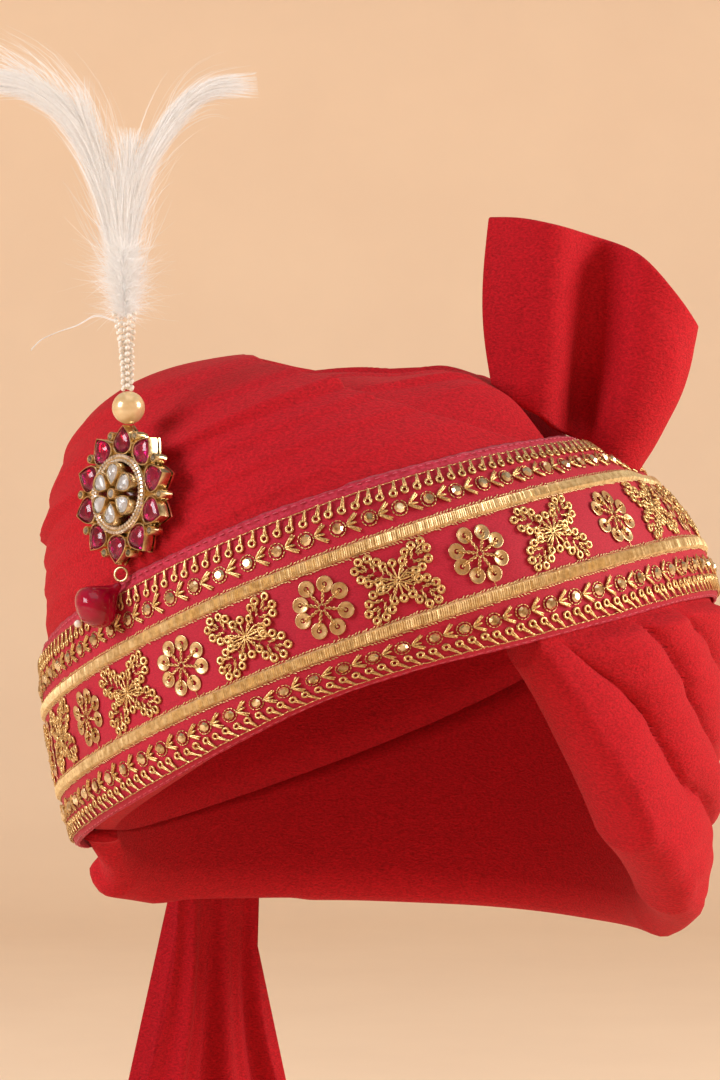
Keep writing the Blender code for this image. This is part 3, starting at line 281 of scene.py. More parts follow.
def swathe_plane(point):
    """The tilted plane of the swathe's upper edge."""
    return SWATHE_EDGE_Z + SWATHE_EDGE_X * point[..., 0] + SWATHE_EDGE_Y * point[..., 1]


def band_place(az, across):
    """Where a point lies that is a distance across the border from its centre line, measured on the form."""
    az = np.asarray(az, float)
    el = elevation_where(az, band_plane)
    nudge = 0.01
    ahead = form(az + nudge, elevation_where(az + nudge, band_plane))
    behind = form(az - nudge, elevation_where(az - nudge, band_plane))
    along = unit(ahead - behind)
    steps = 6
    at = az
    for _ in range(steps):
        side = unit(np.cross(form_normal(at, el), along))
        stride = np.asarray(across, float)[..., None] / steps
        at, el = place(form(at, el) + side * stride)
    return az + np.angle(np.exp(1j * (at - az))), el


def band_below(az):
    """The border's width below its centre line, which is pulled in over the forehead."""
    turn = np.angle(np.exp(1j * (az - FRONT_PULL_AT)))
    return BAND_BELOW * (1.0 - FRONT_PULL * np.exp(-((turn / FRONT_PULL_SPREAD) ** 2)))


def lip(distance, rise, fall):
    """Profile of a folded edge: nothing before it, a quick rise, then a slow fall."""
    past = np.maximum(distance, 0.0)
    return smooth(past / rise) * np.exp(-np.maximum(past - rise, 0.0) / fall)


def table(rows, column, degrees):
    """Read a table's column at azimuths in degrees."""
    return np.interp(degrees, rows["azimuth"], rows[column])


def hollow(az, z):
    """A point on the wall of the head hollow at an azimuth and a height."""
    upper = z > -HEAD_RISE
    power = np.where(upper, HEAD_SQUARENESS, 2.0)
    share = np.abs(z + HEAD_RISE) / np.where(upper, HEAD_RISE, HEAD_DROP)
    reach = np.maximum(1.0 - share**power, 0.0) ** (1.0 / power)
    x = HEAD_HALF_WIDTH * reach * np.sin(az)
    y = -HEAD_HALF_DEPTH * reach * np.cos(az)
    return xyz(x, y, z)


def ripple(point, size, seed, stretch=(1.0, 1.0, 1.0), count=7):
    """Gentle random relief between about -1 and 1, made of waves of about one size."""
    rng = np.random.default_rng(seed)
    total = 0.0
    for _ in range(count):
        direction = rng.normal(size=3)
        direction = direction / np.linalg.norm(direction) / np.array(stretch)
        pitch = size * rng.uniform(0.7, 1.5)
        total = total + np.sin(2 * math.pi * (point @ direction) / pitch + rng.uniform(0, 2 * math.pi))
    return total / math.sqrt(count)


AZIMUTHS = turns(COLUMNS)
RIM_LINE = band_place(AZIMUTHS, -(band_below(AZIMUTHS) - RIM_RISE))
TUCK_LINE = band_place(AZIMUTHS, np.full(COLUMNS, SWATHE_TUCK))
EDGE_LINE = (AZIMUTHS, elevation_where(AZIMUTHS, swathe_plane))
HEM_LINE = band_place(AZIMUTHS, -band_below(AZIMUTHS))
HEM_HEIGHTS = form(*HEM_LINE)[:, 2]
UPPER_HEM_LINE = band_place(AZIMUTHS, np.full(COLUMNS, BAND_ABOVE))


def round_the_form(az, line, values):
    """A value along a line round the form at any azimuth."""
    return np.interp(az, line[0], values, period=2 * math.pi)


def between(first, last, shares):
    """Rows of azimuth and elevation between two edge lines; the shares may differ by column."""
    shares = np.atleast_2d(shares)
    az = first[0][:, None] * (1 - shares) + last[0][:, None] * shares
    el = first[1][:, None] * (1 - shares) + last[1][:, None] * shares
    return az, el


# Materials


def finish(name, colour, roughness, **more):
    """A principled finish; more holds other sockets by name, with _ for a space."""
    made = bpy.data.materials.new(name)
    made.use_nodes = True
    shader = made.node_tree.nodes["Principled BSDF"]
    shader.inputs["Base Color"].default_value = (*colour, 1.0)
    shader.inputs["Roughness"].default_value = roughness
    for key, value in more.items():
        shader.inputs[key.replace("_", " ")].default_value = value
    return made


def shader_of(made):
    """The finish's own shader."""
    return made.node_tree.nodes["Principled BSDF"]


def add(made, kind, **values):
    """A new node in a finish; values holds its sockets by name, with _ for a space."""
    node = made.node_tree.nodes.new("ShaderNode" + kind)
    for key, value in values.items():
        node.inputs[key.replace("_", " ")].default_value = value
    return node


def link(made, source, outlet, target, inlet):
    """A link between two nodes of a finish."""
    made.node_tree.links.new(source.outputs[outlet], target.inputs[inlet])


def ramp(made, low, high, dark, light):
    """A blend from a dark to a light colour between two levels."""
    node = add(made, "ValToRGB")
    for element, level, colour in zip(node.color_ramp.elements, (low, high), (dark, light)):
        element.position = level
        element.color = (*colour, 1.0)
    return node


def grain(made, scale, strength, depth, stretch=(1.0, 1.0, 1.0)):
    """Fine relief from noise in the object's own coordinates, laid over any relief already there."""
    sized = add(made, "Mapping", Scale=stretch)
    noise = add(made, "TexNoise", Scale=scale, Detail=3.0, Roughness=0.6)
    bump = add(made, "Bump", Strength=strength, Distance=depth)
    link(made, add(made, "TexCoord"), "Object", sized, "Vector")
    link(made, sized, "Vector", noise, "Vector")
    link(made, noise, "Fac", bump, "Height")
    normal = shader_of(made).inputs["Normal"]
    if normal.is_linked:
        made.node_tree.links.new(normal.links[0].from_socket, bump.inputs["Normal"])
    link(made, bump, "Normal", shader_of(made), "Normal")
    return noise


def tone(made, noise, low, high, dark, light):
    """Colour that follows a noise between two levels."""
    shades = ramp(made, low, high, dark, light)
    link(made, noise, "Fac", shades, "Fac")
    link(made, shades, "Color", shader_of(made), "Base Color")
    return shades


def patchy(made, scale, amount):
    """Slow lightening and darkening over the colour already there."""
    noise = add(made, "TexNoise", Scale=scale, Detail=2.0)
    spread = add(made, "MapRange", To_Min=1.0 - amount, To_Max=1.0 + amount)
    blend = add(made, "VectorMath")
    blend.operation = "SCALE"
    colour = shader_of(made).inputs["Base Color"]
    link(made, add(made, "TexCoord"), "Object", noise, "Vector")
    link(made, noise, "Fac", spread, "Value")
    made.node_tree.links.new(colour.links[0].from_socket, blend.inputs[0])
    link(made, spread, "Result", blend, "Scale")
    link(made, blend, "Vector", shader_of(made), "Base Color")


def crepe(name, dark, light):
    """Matte crepe: pebbled grain with painted shade darkening its pits, a soft sheen and slow changes of
    tone.
    """
    made = finish(name, light, 0.85, Sheen_Weight=0.06, Sheen_Roughness=0.4, Specular_IOR_Level=0.25)
    shader_of(made).inputs["Sheen Tint"].default_value = (1.0, 0.30, 0.35, 1.0)
    grain(made, 240.0, 0.15, 0.0005, (1.0, 1.0, 2.2))
    pebbles = grain(made, 950.0, 1.0, 0.0005, (1.0, 1.0, 1.8))
    # The colour follows the pebbled relief and is darker in its pits: painted shade.
    tone(made, pebbles, 0.30, 0.66, dark, light)
    patchy(made, 14.0, 0.08)
    return made


def border_cloth():
    """The border's crimson ground, with sheer pinkish hems; the map's second coordinate is metres across."""
    made = finish("border_crepe", (0.5, 0.02, 0.05), 0.7, Sheen_Weight=0.08, Specular_IOR_Level=0.3)
    weave = grain(made, 1500.0, 0.5, 0.0002, (1.0, 1.0, 2.5))
    # The ground's colour follows the weave's relief and is darker where it dips: painted shade.
    ground = tone(made, weave, 0.30, 0.68, (0.36, 0.006, 0.026), (0.56, 0.013, 0.045))
    where = add(made, "TexCoord")
    split = add(made, "SeparateXYZ")
    out = add(made, "Math")
    out.operation = "ABSOLUTE"
    edge = add(made, "MapRange", From_Min=0.0299, From_Max=0.0304)
    threads = add(made, "TexNoise", Scale=700.0)
    sheer = ramp(made, 0.35, 0.65, (0.38, 0.008, 0.028), (0.58, 0.030, 0.075))
    mix = add(made, "Mix")
    mix.data_type = "RGBA"
    link(made, where, "UV", split, "Vector")
    link(made, split, "Y", out, 0)
    link(made, out, "Value", edge, "Value")
    link(made, where, "Object", threads, "Vector")
    link(made, threads, "Fac", sheer, "Fac")
    link(made, edge, "Result", mix, "Factor")
    link(made, ground, "Color", mix, "A")
    link(made, sheer, "Color", mix, "B")
    link(made, mix, "Result", shader_of(made), "Base Color")
    patchy(made, 20.0, 0.08)
    return made


def metal(name, dark, light, roughness, scale, strength=0.10, depth=0.0001, **more):
    """Metal, glass or thread with fine relief, and painted shade that darkens the colour in the relief's
    hollows.
    """
    made = finish(name, light, roughness, **more)
    relief = grain(made, scale, strength, depth)
    # The colour follows the relief and is darker in its hollows: painted shade.
    tone(made, relief, 0.32, 0.60, dark, light)
    return made


RED = crepe("red_crepe", (0.33, 0.003, 0.009), (0.60, 0.006, 0.018))
BORDER = border_cloth()
BRAID = metal("gold_thread", (0.62, 0.43, 0.19), (0.90, 0.70, 0.38), 0.42, 600.0, Metallic=0.55)
COIL = metal("gold_coil", (0.36, 0.19, 0.05), (0.95, 0.68, 0.32), 0.30, 1900.0, 0.7, 0.0002, Metallic=0.9)
SEQUIN = metal("gold_sequin", (0.62, 0.42, 0.20), (0.88, 0.66, 0.38), 0.27, 500.0, Metallic=1.0)
CRYSTAL = metal("gold_crystal", (0.40, 0.24, 0.08), (0.95, 0.78, 0.50), 0.08, 300.0, 0.05, Metallic=0.85)
ANTIQUE = metal(
    "antique_gold", (0.42, 0.29, 0.13), (0.88, 0.71, 0.42), 0.24, 420.0, 0.15, 0.00015, Metallic=1.0
)
RUBY_FOIL = metal("ruby_foil", (0.75, 0.25, 0.40), (0.95, 0.45, 0.60), 0.22, 260.0, 0.3, 0.0002, Metallic=1.0)
SILVER_FOIL = metal(
    "silver_foil", (0.60, 0.62, 0.66), (0.92, 0.93, 0.96), 0.25, 380.0, 0.5, 0.0002, Metallic=1.0
)
ENAMEL = metal("dark_enamel", (0.05, 0.0, 0.005), (0.16, 0.004, 0.012), 0.15, 200.0)
ROUND_GLASS = metal("round_glass", (0.16, 0.14, 0.10), (0.42, 0.38, 0.30), 0.05, 300.0, Metallic=0.6)
PAVE = metal("pave_glass", (0.55, 0.46, 0.36), (0.96, 0.90, 0.82), 0.12, 700.0, Metallic=0.7)
SEED = metal("seed_glass", (0.78, 0.72, 0.62), (0.93, 0.90, 0.84), 0.22, 900.0, Coat_Weight=0.5)
LUSTRE = {"Metallic": 0.25, "Coat_Weight": 0.6}
PEARL = metal("pearl_lustre", (0.74, 0.52, 0.25), (0.86, 0.66, 0.38), 0.24, 220.0, 0.03, **LUSTRE)
CLEAR_RUBY = {"Transmission_Weight": 0.9, "IOR": 1.55}
RUBY = metal("ruby_stone", (0.50, 0.0, 0.09), (0.72, 0.01, 0.20), 0.03, 150.0, 0.02, **CLEAR_RUBY)
CLEAR_POLKI = {"Transmission_Weight": 0.7, "IOR": 1.6}
POLKI_GLASS = metal("polki_glass", (0.80, 0.82, 0.86), (0.97, 0.97, 0.98), 0.06, 300.0, **CLEAR_POLKI)
CLEAR_DROP = {"Transmission_Weight": 0.4, "IOR": 1.45}
DROP_GLASS = metal("drop_glass", (0.36, 0.0, 0.022), (0.52, 0.003, 0.045), 0.03, 90.0, 0.02, **CLEAR_DROP)
# The feather glows faintly though it is no lamp: painted light that stands in for light passing through the
# barbs.
FEATHER = metal("white_feather", (0.90, 0.89, 0.88), (0.98, 0.97, 0.96), 0.7, 900.0, Emission_Strength=0.05)
shader_of(FEATHER).inputs["Emission Color"].default_value = (1.0, 0.97, 0.94, 1.0)
STONES = {
    "petal": (RUBY, "ruby_glass"),
    "round": (ROUND_GLASS, "champagne_pearl"),
    "polki": (POLKI_GLASS, "polki_stone"),
    "centre": (POLKI_GLASS, "polki_stone"),
}


# Meshes


def piece(name, points, faces, stuff, slot, stands_for=(), angle=None, uv=None, outward=True):
    """A shown mesh of the object, smooth or faceted, which rides on the one body."""
    mesh = bpy.data.meshes.new(name)
    mesh.from_pydata(np.asarray(points, float).tolist(), [], faces)
    if outward:
        work = bmesh.new()
        work.from_mesh(mesh)
        bmesh.ops.recalc_face_normals(work, faces=work.faces)
        work.to_mesh(mesh)
        work.free()
    mesh.materials.append(stuff)
    mesh.shade_smooth()
    if angle is not None:
        mesh.set_sharp_from_angle(angle=math.radians(angle))
    if uv is not None:
        corners = np.zeros(len(mesh.loops), dtype=np.int32)
        mesh.loops.foreach_get("vertex_index", corners)
        layer = mesh.uv_layers.new(name="across")
        layer.data.foreach_set("uv", np.asarray(uv, float)[corners].ravel())
    made = bpy.data.objects.new(name, mesh)
    bpy.context.scene.collection.objects.link(made)
    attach(made, "root")
    if stands_for:
        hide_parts(*stands_for)
    return made


def grid(columns, rows, closed, wrapped=False, start=0, flip=False):
    """Quads over a grid of points stored column by column, closed in columns and wrapped in rows if asked."""
    i = np.arange(columns if closed else columns - 1)[:, None]
    k = np.arange(rows if wrapped else rows - 1)[None, :]
    j, m = (i + 1) % columns, (k + 1) % rows
    quads = np.stack(np.broadcast_arrays(i * rows + k, j * rows + k, j * rows + m, i * rows + m), axis=-1)
    quads = quads.reshape(-1, 4) + start
    return (quads[:, ::-1] if flip else quads).tolist()


def loft(sections, closed):
    """Points and faces through closed sections, capped at the ends unless the sections go full circle."""
    columns, rows = sections.shape[:2]
    faces = grid(columns, rows, closed, wrapped=True)
    if not closed:
        faces.append(list(range(rows)))
        faces.append([(columns - 1) * rows + k for k in range(rows)][::-1])
    return sections.reshape(-1, 3), faces


def capped(rings, sides):
    """Faces of a tube through rings, closed flat at both ends."""
    faces = grid(rings, sides, False, wrapped=True)
    faces.append(list(range(sides))[::-1])
    faces.append([(rings - 1) * sides + k for k in range(sides)])
    return faces


def pointed(rings, sides):
    """Faces of a tube through rings, closed in the two points that come after them."""
    faces = grid(rings, sides, False, wrapped=True)
    last, foot = (rings - 1) * sides, rings * sides
    for k in range(sides):
        m = (k + 1) % sides
        faces += [[m, k, foot], [last + k, last + m, foot + 1]]
    return faces


# Wound cloth


def swathe_lift(az, el):
    """Folds of the front swathe, flat where the border covers it."""
    point = form(az, el)
    wander = 0.0016 * ripple(point, 0.09, 3)
    level = point[..., 2] - FOLD_SLOPE_X * point[..., 0] - FOLD_SLOPE_Y * point[..., 1] + wander
    folds = 0.0
    for share, height, rise, fall in SWATHE_FOLDS:
        over = level - (CROWN_TOP - share * RISE)
        folds = folds + height * lip(over, rise, fall)
    slack = np.array([1.0, 0.4, 3.0])
    creases = 0.00009 * ripple(level[..., None] * slack + 0.05 * point, 0.016, 5)
    creases = creases + 0.00018 * ripple(point, 0.045, 8, (2.5, 2.5, 0.8))
    clear = (el - round_the_form(az, UPPER_HEM_LINE, UPPER_HEM_LINE[1])) * RISE
    return -UNDER_BAND + (folds + creases) * smooth(clear / FOLD_LIP)


def crown_lift(az, el):
    """The crown cloth: low under the swathe, swelling into folds where it shows."""
    point = form(az, el)
    inside = smooth((point[..., 2] - swathe_plane(point) - FOLD_LIP / 2) / (2 * FOLD_LIP))
    away_x = FAN_X + FAN_WIDTH / 2 - point[..., 0]
    away_y = point[..., 1] - FAN_Y
    distance = np.hypot(away_x, away_y)
    turn = np.arctan2(away_y, away_x)
    folds = 0.0
    for angle, height in CROWN_FOLDS:
        off = turn - math.radians(angle)
        across = distance * np.sin(np.clip(off, -math.pi / 2, math.pi / 2))
        folds = folds + height * lip(across, 0.003, 0.012)
    spread = smooth((distance - FAN_WIDTH * 0.55) / (FAN_WIDTH / 4)) * (away_x > 0)
    swell = CROWN_SWELL + CROWN_SWELL_FAN * smooth(point[..., 0] / FAN_X)
    return -CROWN_UNDER + inside * (swell + folds * spread + 0.0003 * ripple(point, 0.03, 12))


def nape_lift(az, z):
    """The nape cloth: swelling towards its rim, in puffy pleats, with a pocket for the hanging end."""
    around = np.mod(az, 2 * math.pi)
    degrees = np.degrees(around)
    under = BELLY_Z - z
    point = xyz(np.sin(az) * HALF_WIDTH, -np.cos(az) * HALF_DEPTH, z)
    share = (under + 0.0012 * ripple(point, 0.07, 21)) / NAPE_DROP
    lines = [table(PLEATS, name, degrees) for name in ("high", "middle", "low")]
    lines = [2 * lines[0] - lines[1] - 0.05] + lines + [table(NAPE_RIM, "depth", degrees) + 0.08]
    rolls = 0.0
    for upper, lower in zip(lines[:-1], lines[1:]):
        along = np.clip((share - upper) / (lower - upper), 0.0, 1.0)
        rolls = rolls + PLEAT_ROLL * (4.0 * along * (1.0 - along)) ** PLEAT_PUFF
    back = 1.0 - 0.45 * smooth((degrees - 100.0) / 60.0)
    off_tail = np.abs(around - TAIL_AZIMUTH)
    pocket = 1.0 - smooth((off_tail - TAIL_POCKET) / TAIL_POCKET_FADE)
    fade = smooth((around - NAPE_START) / NAPE_FADE_RIGHT) * smooth((NAPE_END - around) / NAPE_FADE_LEFT)
    swelling = (under / NAPE_DROP - NAPE_SWELL_STARTS) / (NAPE_SWELL_FULL - NAPE_SWELL_STARTS)
    swell = NAPE_SWELL * smooth(swelling)
    below = smooth((round_the_form(az, HEM_LINE, HEM_HEIGHTS) - z - LAYER_GAP) / PLEAT_LIP)
    soft = 0.0004 * ripple(point, 0.03, 23, (1.6, 1.6, 0.7))
    soft = soft + 0.00025 * ripple(point, 0.014, 25, (2.5, 2.5, 0.6))
    cover = (rolls * back * (1.0 - pocket) + swell + soft) * fade * below
    return -UNDER_BAND - (TAIL_THICK + TAIL_CLEAR) * pocket * (1.0 - below) + cover


def crown():
    """The wound dome over the head hollow."""
    az_low, el_low = between(RIM_LINE, TUCK_LINE, np.linspace(0, 1, 5)[:-1])
    az_mid, el_mid = between(TUCK_LINE, EDGE_LINE, np.linspace(0, 1, 6)[:-1])
    pole = (AZIMUTHS, np.full(COLUMNS, math.pi / 2))
    az_top, el_top = between(EDGE_LINE, pole, np.linspace(0, 1, 67)[:-1])
    az = np.concatenate([az_low, az_mid, az_top], axis=1)
    el = np.concatenate([el_low, el_mid, el_top], axis=1)
    outer = lifted(az, el, crown_lift(az, el))
    rim = outer[:, 0]
    around = np.arctan2(rim[:, 0] / HEAD_HALF_WIDTH, -rim[:, 1] / HEAD_HALF_DEPTH)
    shares = np.linspace(0, 1, 16)[:-1]
    first = np.arcsin(np.clip((rim[:, 2] + HEAD_RISE) / HEAD_RISE, -1.0, 1.0))
    angle = first[:, None] * (1 - shares) + (math.pi / 2) * shares
    inner = hollow(around[:, None], -HEAD_RISE + HEAD_RISE * np.sin(angle))
    rows, inner_rows = outer.shape[1], inner.shape[1]
    start = COLUMNS * rows
    top = lifted(np.array([0.0]), np.array([math.pi / 2]), crown_lift(0.0, np.array([math.pi / 2])))
    points = np.concatenate([outer.reshape(-1, 3), inner.reshape(-1, 3), top, [[0.0, 0.0, 0.0]]])
    faces = grid(COLUMNS, rows, True) + grid(COLUMNS, inner_rows, True, start=start, flip=True)
    peak, apex = len(points) - 2, len(points) - 1
    for i in range(COLUMNS):
        j = (i + 1) % COLUMNS
        faces.append([j * rows, i * rows, start + i * inner_rows, start + j * inner_rows])
        faces.append([i * rows + rows - 1, j * rows + rows - 1, peak])
        faces.append([start + j * inner_rows + inner_rows - 1, start + i * inner_rows + inner_rows - 1, apex])
    made = piece("crown_cloth", points, faces, RED, "red_crepe", ["crown_wrap"])


def swathe():
    """The broad pleated turn of cloth that sweeps across the front and round the back."""
    hem = np.full(COLUMNS, 0.5)
    rise = EDGE_LINE[1] - TUCK_LINE[1]
    for _ in range(8):
        az = TUCK_LINE[0] + (EDGE_LINE[0] - TUCK_LINE[0]) * hem
        reached = round_the_form(az, UPPER_HEM_LINE, UPPER_HEM_LINE[1]) - TUCK_LINE[1]
        hem = np.clip(reached / rise, 0.05, 0.85)
    hem = hem[:, None]
    covered, shown = hem * np.linspace(0, 1, 5)[:-1], hem + (1 - hem) * np.linspace(0, 1, 92)
    shares = np.concatenate([covered, shown], axis=1)
    az, el = between(TUCK_LINE, EDGE_LINE, shares)
    lift = swathe_lift(az, el)
    point = form(az, el)
    to_edge = np.linalg.norm(point - point[:, -1:], axis=-1)
    rounding = 0.0035
    turned = np.clip(1.0 - to_edge / rounding, 0.0, 1.0)
    lift = lift - PLY * 0.75 * (1.0 - np.sqrt(1.0 - np.minimum(turned, 0.999) ** 2))
    az_in, el_in = between(TUCK_LINE, EDGE_LINE, np.linspace(1, 0, 5))
    inner = lifted(az_in, el_in, np.full(az_in.shape, -(UNDER_BAND + PLY)))
    points, faces = loft(np.concatenate([lifted(az, el, lift), inner], axis=1), True)
    made = piece("swathe_cloth", points, faces, RED, "red_crepe", ["front_swathe"])


def nape():
    """The pleated cloth under the border at the side and nape, rolled in at its rim."""
    count = 270
    azimuths = np.linspace(NAPE_START, NAPE_END, count)
    top = band_place(azimuths, np.full(count, -NAPE_TUCK))
    rim_az, rim_el = band_place(azimuths, -(band_below(azimuths) - RIM_RISE))
    rim_height = form(rim_az, rim_el)[:, 2]
    rim_depth = NAPE_DROP * table(NAPE_RIM, "depth", np.degrees(np.mod(rim_az, 2 * math.pi)))
    bottom = np.minimum(BELLY_Z - rim_depth, rim_height - NAPE_ROLL / 4)
    roll = np.minimum(NAPE_ROLL, (rim_height - bottom) * 0.6)
    roll_height = bottom + roll
    roll_el = elevation_where(rim_az, lambda point: roll_height)
    az_high, el_high = between(top, (rim_az, rim_el), np.linspace(0, 1, 5)[:-1])
    az_low, el_low = between((rim_az, rim_el), (rim_az, roll_el), np.linspace(0, 1, 108))
    az = np.concatenate([az_high, az_low], axis=1)
    el = np.concatenate([el_high, el_low], axis=1)
    outer = lifted(az, el, nape_lift(az, form(az, el)[..., 2]))
    crown_rim = lifted(rim_az, rim_el, np.full(count, -CROWN_UNDER))
    around = np.arctan2(crown_rim[:, 0] / HEAD_HALF_WIDTH, -crown_rim[:, 1] / HEAD_HALF_DEPTH)
    gap = np.array([0.0, 0.0, -LAYER_GAP / 12])
    depth = np.full(count, -(UNDER_BAND + PLY))
    inner = [
        lifted(top[0], top[1], depth),
        lifted(rim_az, rim_el, depth) + gap,
        crown_rim + 2 * gap,
        hollow(around, crown_rim[:, 2]) + 2 * gap,
    ]
    high = inner[-1][:, 2]
    for share in np.linspace(0, 1, 9)[1:]:
        inner.append(hollow(around, high + (roll_height - high) * share))
    inner = np.stack(inner[::-1], axis=1)
    out_edge, in_edge = outer[:, -1], inner[:, 0]
    middle, reach = (out_edge + in_edge) / 2, (out_edge - in_edge) / 2
    down = xyz(0.0, 0.0, -roll)
    turn = np.radians(np.linspace(12, 168, 10))
    rolled = np.stack([middle + reach * math.cos(a) + down * math.sin(a) for a in turn], axis=1)
    points, faces = loft(np.concatenate([outer, rolled, inner], axis=1), False)
    made = piece("nape_cloth", points, faces, RED, "red_crepe", ["nape_wrap"])


def tail():
    """The loose end: tucked under the border, over the nape cloth, then hanging free."""
    count = 80
    sides = np.linspace(-1.0, 1.0, count)
    share = np.concatenate([np.linspace(0, 0.35, 5)[:-1], np.linspace(0.35, 1.0, 26)])
    half = TAIL_TOP_HALF * (1.0 + TAIL_WIDENS * share)
    az = TAIL_AZIMUTH + sides[:, None] * half / HALF_DEPTH
    hem = round_the_form(az, HEM_LINE, HEM_HEIGHTS)
    knots = np.array([0.0, 0.35, 0.5, 0.75, 1.0])
    low = TAIL_LEAVES_Z + 0 * hem
    stops = [hem + TAIL_TUCK, hem, hem - PLEAT_LIP, (hem + low) / 2, low]
    heights = np.zeros(hem.shape)
    for i in range(len(share)):
        heights[:, i] = [np.interp(share[i], knots, [stop[c, i] for stop in stops]) for c in range(count)]
    el = elevation_where(az, lambda point: heights)
    lift = nape_lift(az, heights) + TAIL_CLEAR
    inner, outer = lifted(az, el, lift), lifted(az, el, lift + TAIL_THICK)
    facing = form_normal(np.array(TAIL_AZIMUTH), np.array(0.0))
    sideways = np.array([-facing[1], facing[0], 0.0])
    hung_inner, hung_outer = [], []
    start_half = half[-1]
    for t in np.linspace(0, 1, 56)[1:]:
        width = TAIL_END_HALF * smooth(0.25 + 0.75 * t)
        wider = (width - start_half) * smooth(t / TAIL_FULL_AT)
        wave = np.sin(sides * TAIL_WAVES * math.pi + TAIL_WAVE_TURN)
        wave = wave + 0.35 * np.sin(sides * 5.1 * math.pi + 1.4 + t)
        spread = (sides * wider + TAIL_SHIFT * t)[:, None] * sideways
        fall = np.array([0.0, 0.0, (TAIL_END_Z - TAIL_LEAVES_Z) * t])
        bulge = (TAIL_FOLD * t * wave + TAIL_FOLD * t * 0.4)[:, None] * facing
        hung_inner.append(inner[:, -1] + spread + fall + bulge)
        hung_outer.append(outer[:, -1] + spread + fall + bulge)
    inner = np.concatenate([inner, np.stack(hung_inner, axis=1)], axis=1)
    outer = np.concatenate([outer, np.stack(hung_outer, axis=1)], axis=1)
    points, faces = loft(np.concatenate([outer, inner[:, ::-1]], axis=1), False)
    made = piece("tail_cloth", points, faces, RED, "red_crepe", ["tail"])


def fan_curve(column, fine):
    """One of the fan's shares along its sheet, eased round each corner."""
    values = FAN_COLUMNS[column]
    knots = np.arange(len(values))
    total = 0.0
    offsets = np.linspace(-0.75, 0.75, 31)
    weights = 1.0 - np.abs(offsets) / 0.78
    for offset, weight in zip(offsets, weights):
        total = total + weight * np.interp(fine + offset, knots, values)
    return total / weights.sum()


def fan_seat(az, el):
    """The height the fan's foot stands at."""
    point = form(az, el)
    within = smooth((point[..., 2] - swathe_plane(point) - FOLD_LIP) / (2 * FOLD_LIP))
    return LAYER_GAP + BAND_THICK * (1 - within) + crown_lift(az, el) * within


def on_cloth(spots):
    """Points over places in plan at which the fan's foot stands."""
    z = np.full(len(spots), CROWN_TOP)
    for _ in range(20):
        az, el = place(xyz(spots[:, 0], spots[:, 1], z))
        at = lifted(az, el, fan_seat(az, el))
        slope = form_normal(az, el)
        z = at[:, 2] + np.sum(slope[:, :2] * (at[:, :2] - spots), axis=-1) / slope[:, 2]
    return xyz(spots[:, 0], spots[:, 1], z)


def turra():
    """The stiff cloth fan that stands on the crown at the right."""
    fine = np.linspace(0, len(FAN_COLUMNS["across"]) - 1, 180)
    x = FAN_X + FAN_WIDTH * fan_curve("across", fine)
    y = FAN_Y - FAN_FOLD * fan_curve("deep", fine)
    top = xyz(x, y, FAN_TOP_Z - FAN_HEIGHT * fan_curve("lower", fine))
    foot_x = FAN_X + FAN_WIDTH * fan_curve("foot_across", fine)
    foot_y = FAN_Y - FAN_FOLD * fan_curve("foot_deep", fine)
    foot = on_cloth(np.stack([foot_x, foot_y], axis=-1))
    bow = xyz(FAN_WIDTH * fan_curve("bow", fine), 0.0, 0.0)
    shares = np.linspace(0, 1, 64)[None, :, None]
    sheet = foot[:, None] + (top - foot)[:, None] * shares + bow[:, None] * np.sin(math.pi * shares)
    along = np.gradient(sheet, axis=0)
    upward = np.gradient(sheet, axis=1)
    side = unit(np.cross(along, upward))
    slack = 0.0008 * ripple(sheet, 0.045, 31, (0.8, 0.8, 2.5))
    slack = slack + 0.0003 * ripple(sheet, 0.018, 33, (0.7, 0.7, 3.0))
    rise = shares[..., 0]
    narrow = FAN_VALLEY_WIDTH * (0.45 + rise)
    valley = FAN_VALLEY * np.exp(-(((fine[:, None] - FAN_VALLEY_AT) / narrow) ** 2))
    valley = valley * (1.0 - 0.75 * smooth(rise / 0.85))
    relief = slack * np.sin(math.pi * np.clip(rise * 1.2, 0, 1)) ** 0.5 + valley * smooth(rise / 0.12)
    sheet = sheet + side * relief[..., None]
    half = side * FAN_THICK / 2
    out = unit(np.cross(half[:, -1], along[:, -1])) * FAN_THICK / 2
    out = out * np.sign(np.sum(out * upward[:, -1], axis=-1, keepdims=True))
    turn = np.radians(np.linspace(20, 160, 5))
    rounded = [sheet[:, -1] + half[:, -1] * math.cos(a) + out * math.sin(a) for a in turn]
    section = np.concatenate([sheet + half, np.stack(rounded, axis=1), (sheet - half)[:, ::-1]], axis=1)
    points, faces = loft(section, False)
    made = piece("turra_cloth", points, faces, RED, "red_crepe", ["turra"])


# Border and embroidery, laid out flat, then wrapped: u along the centre line, v across it, w out of the cloth


MAP_COLUMNS = 1440
MAP_ROWS = 48
MAP_REACH = 0.036
FIELD_EDGE = 0.0155


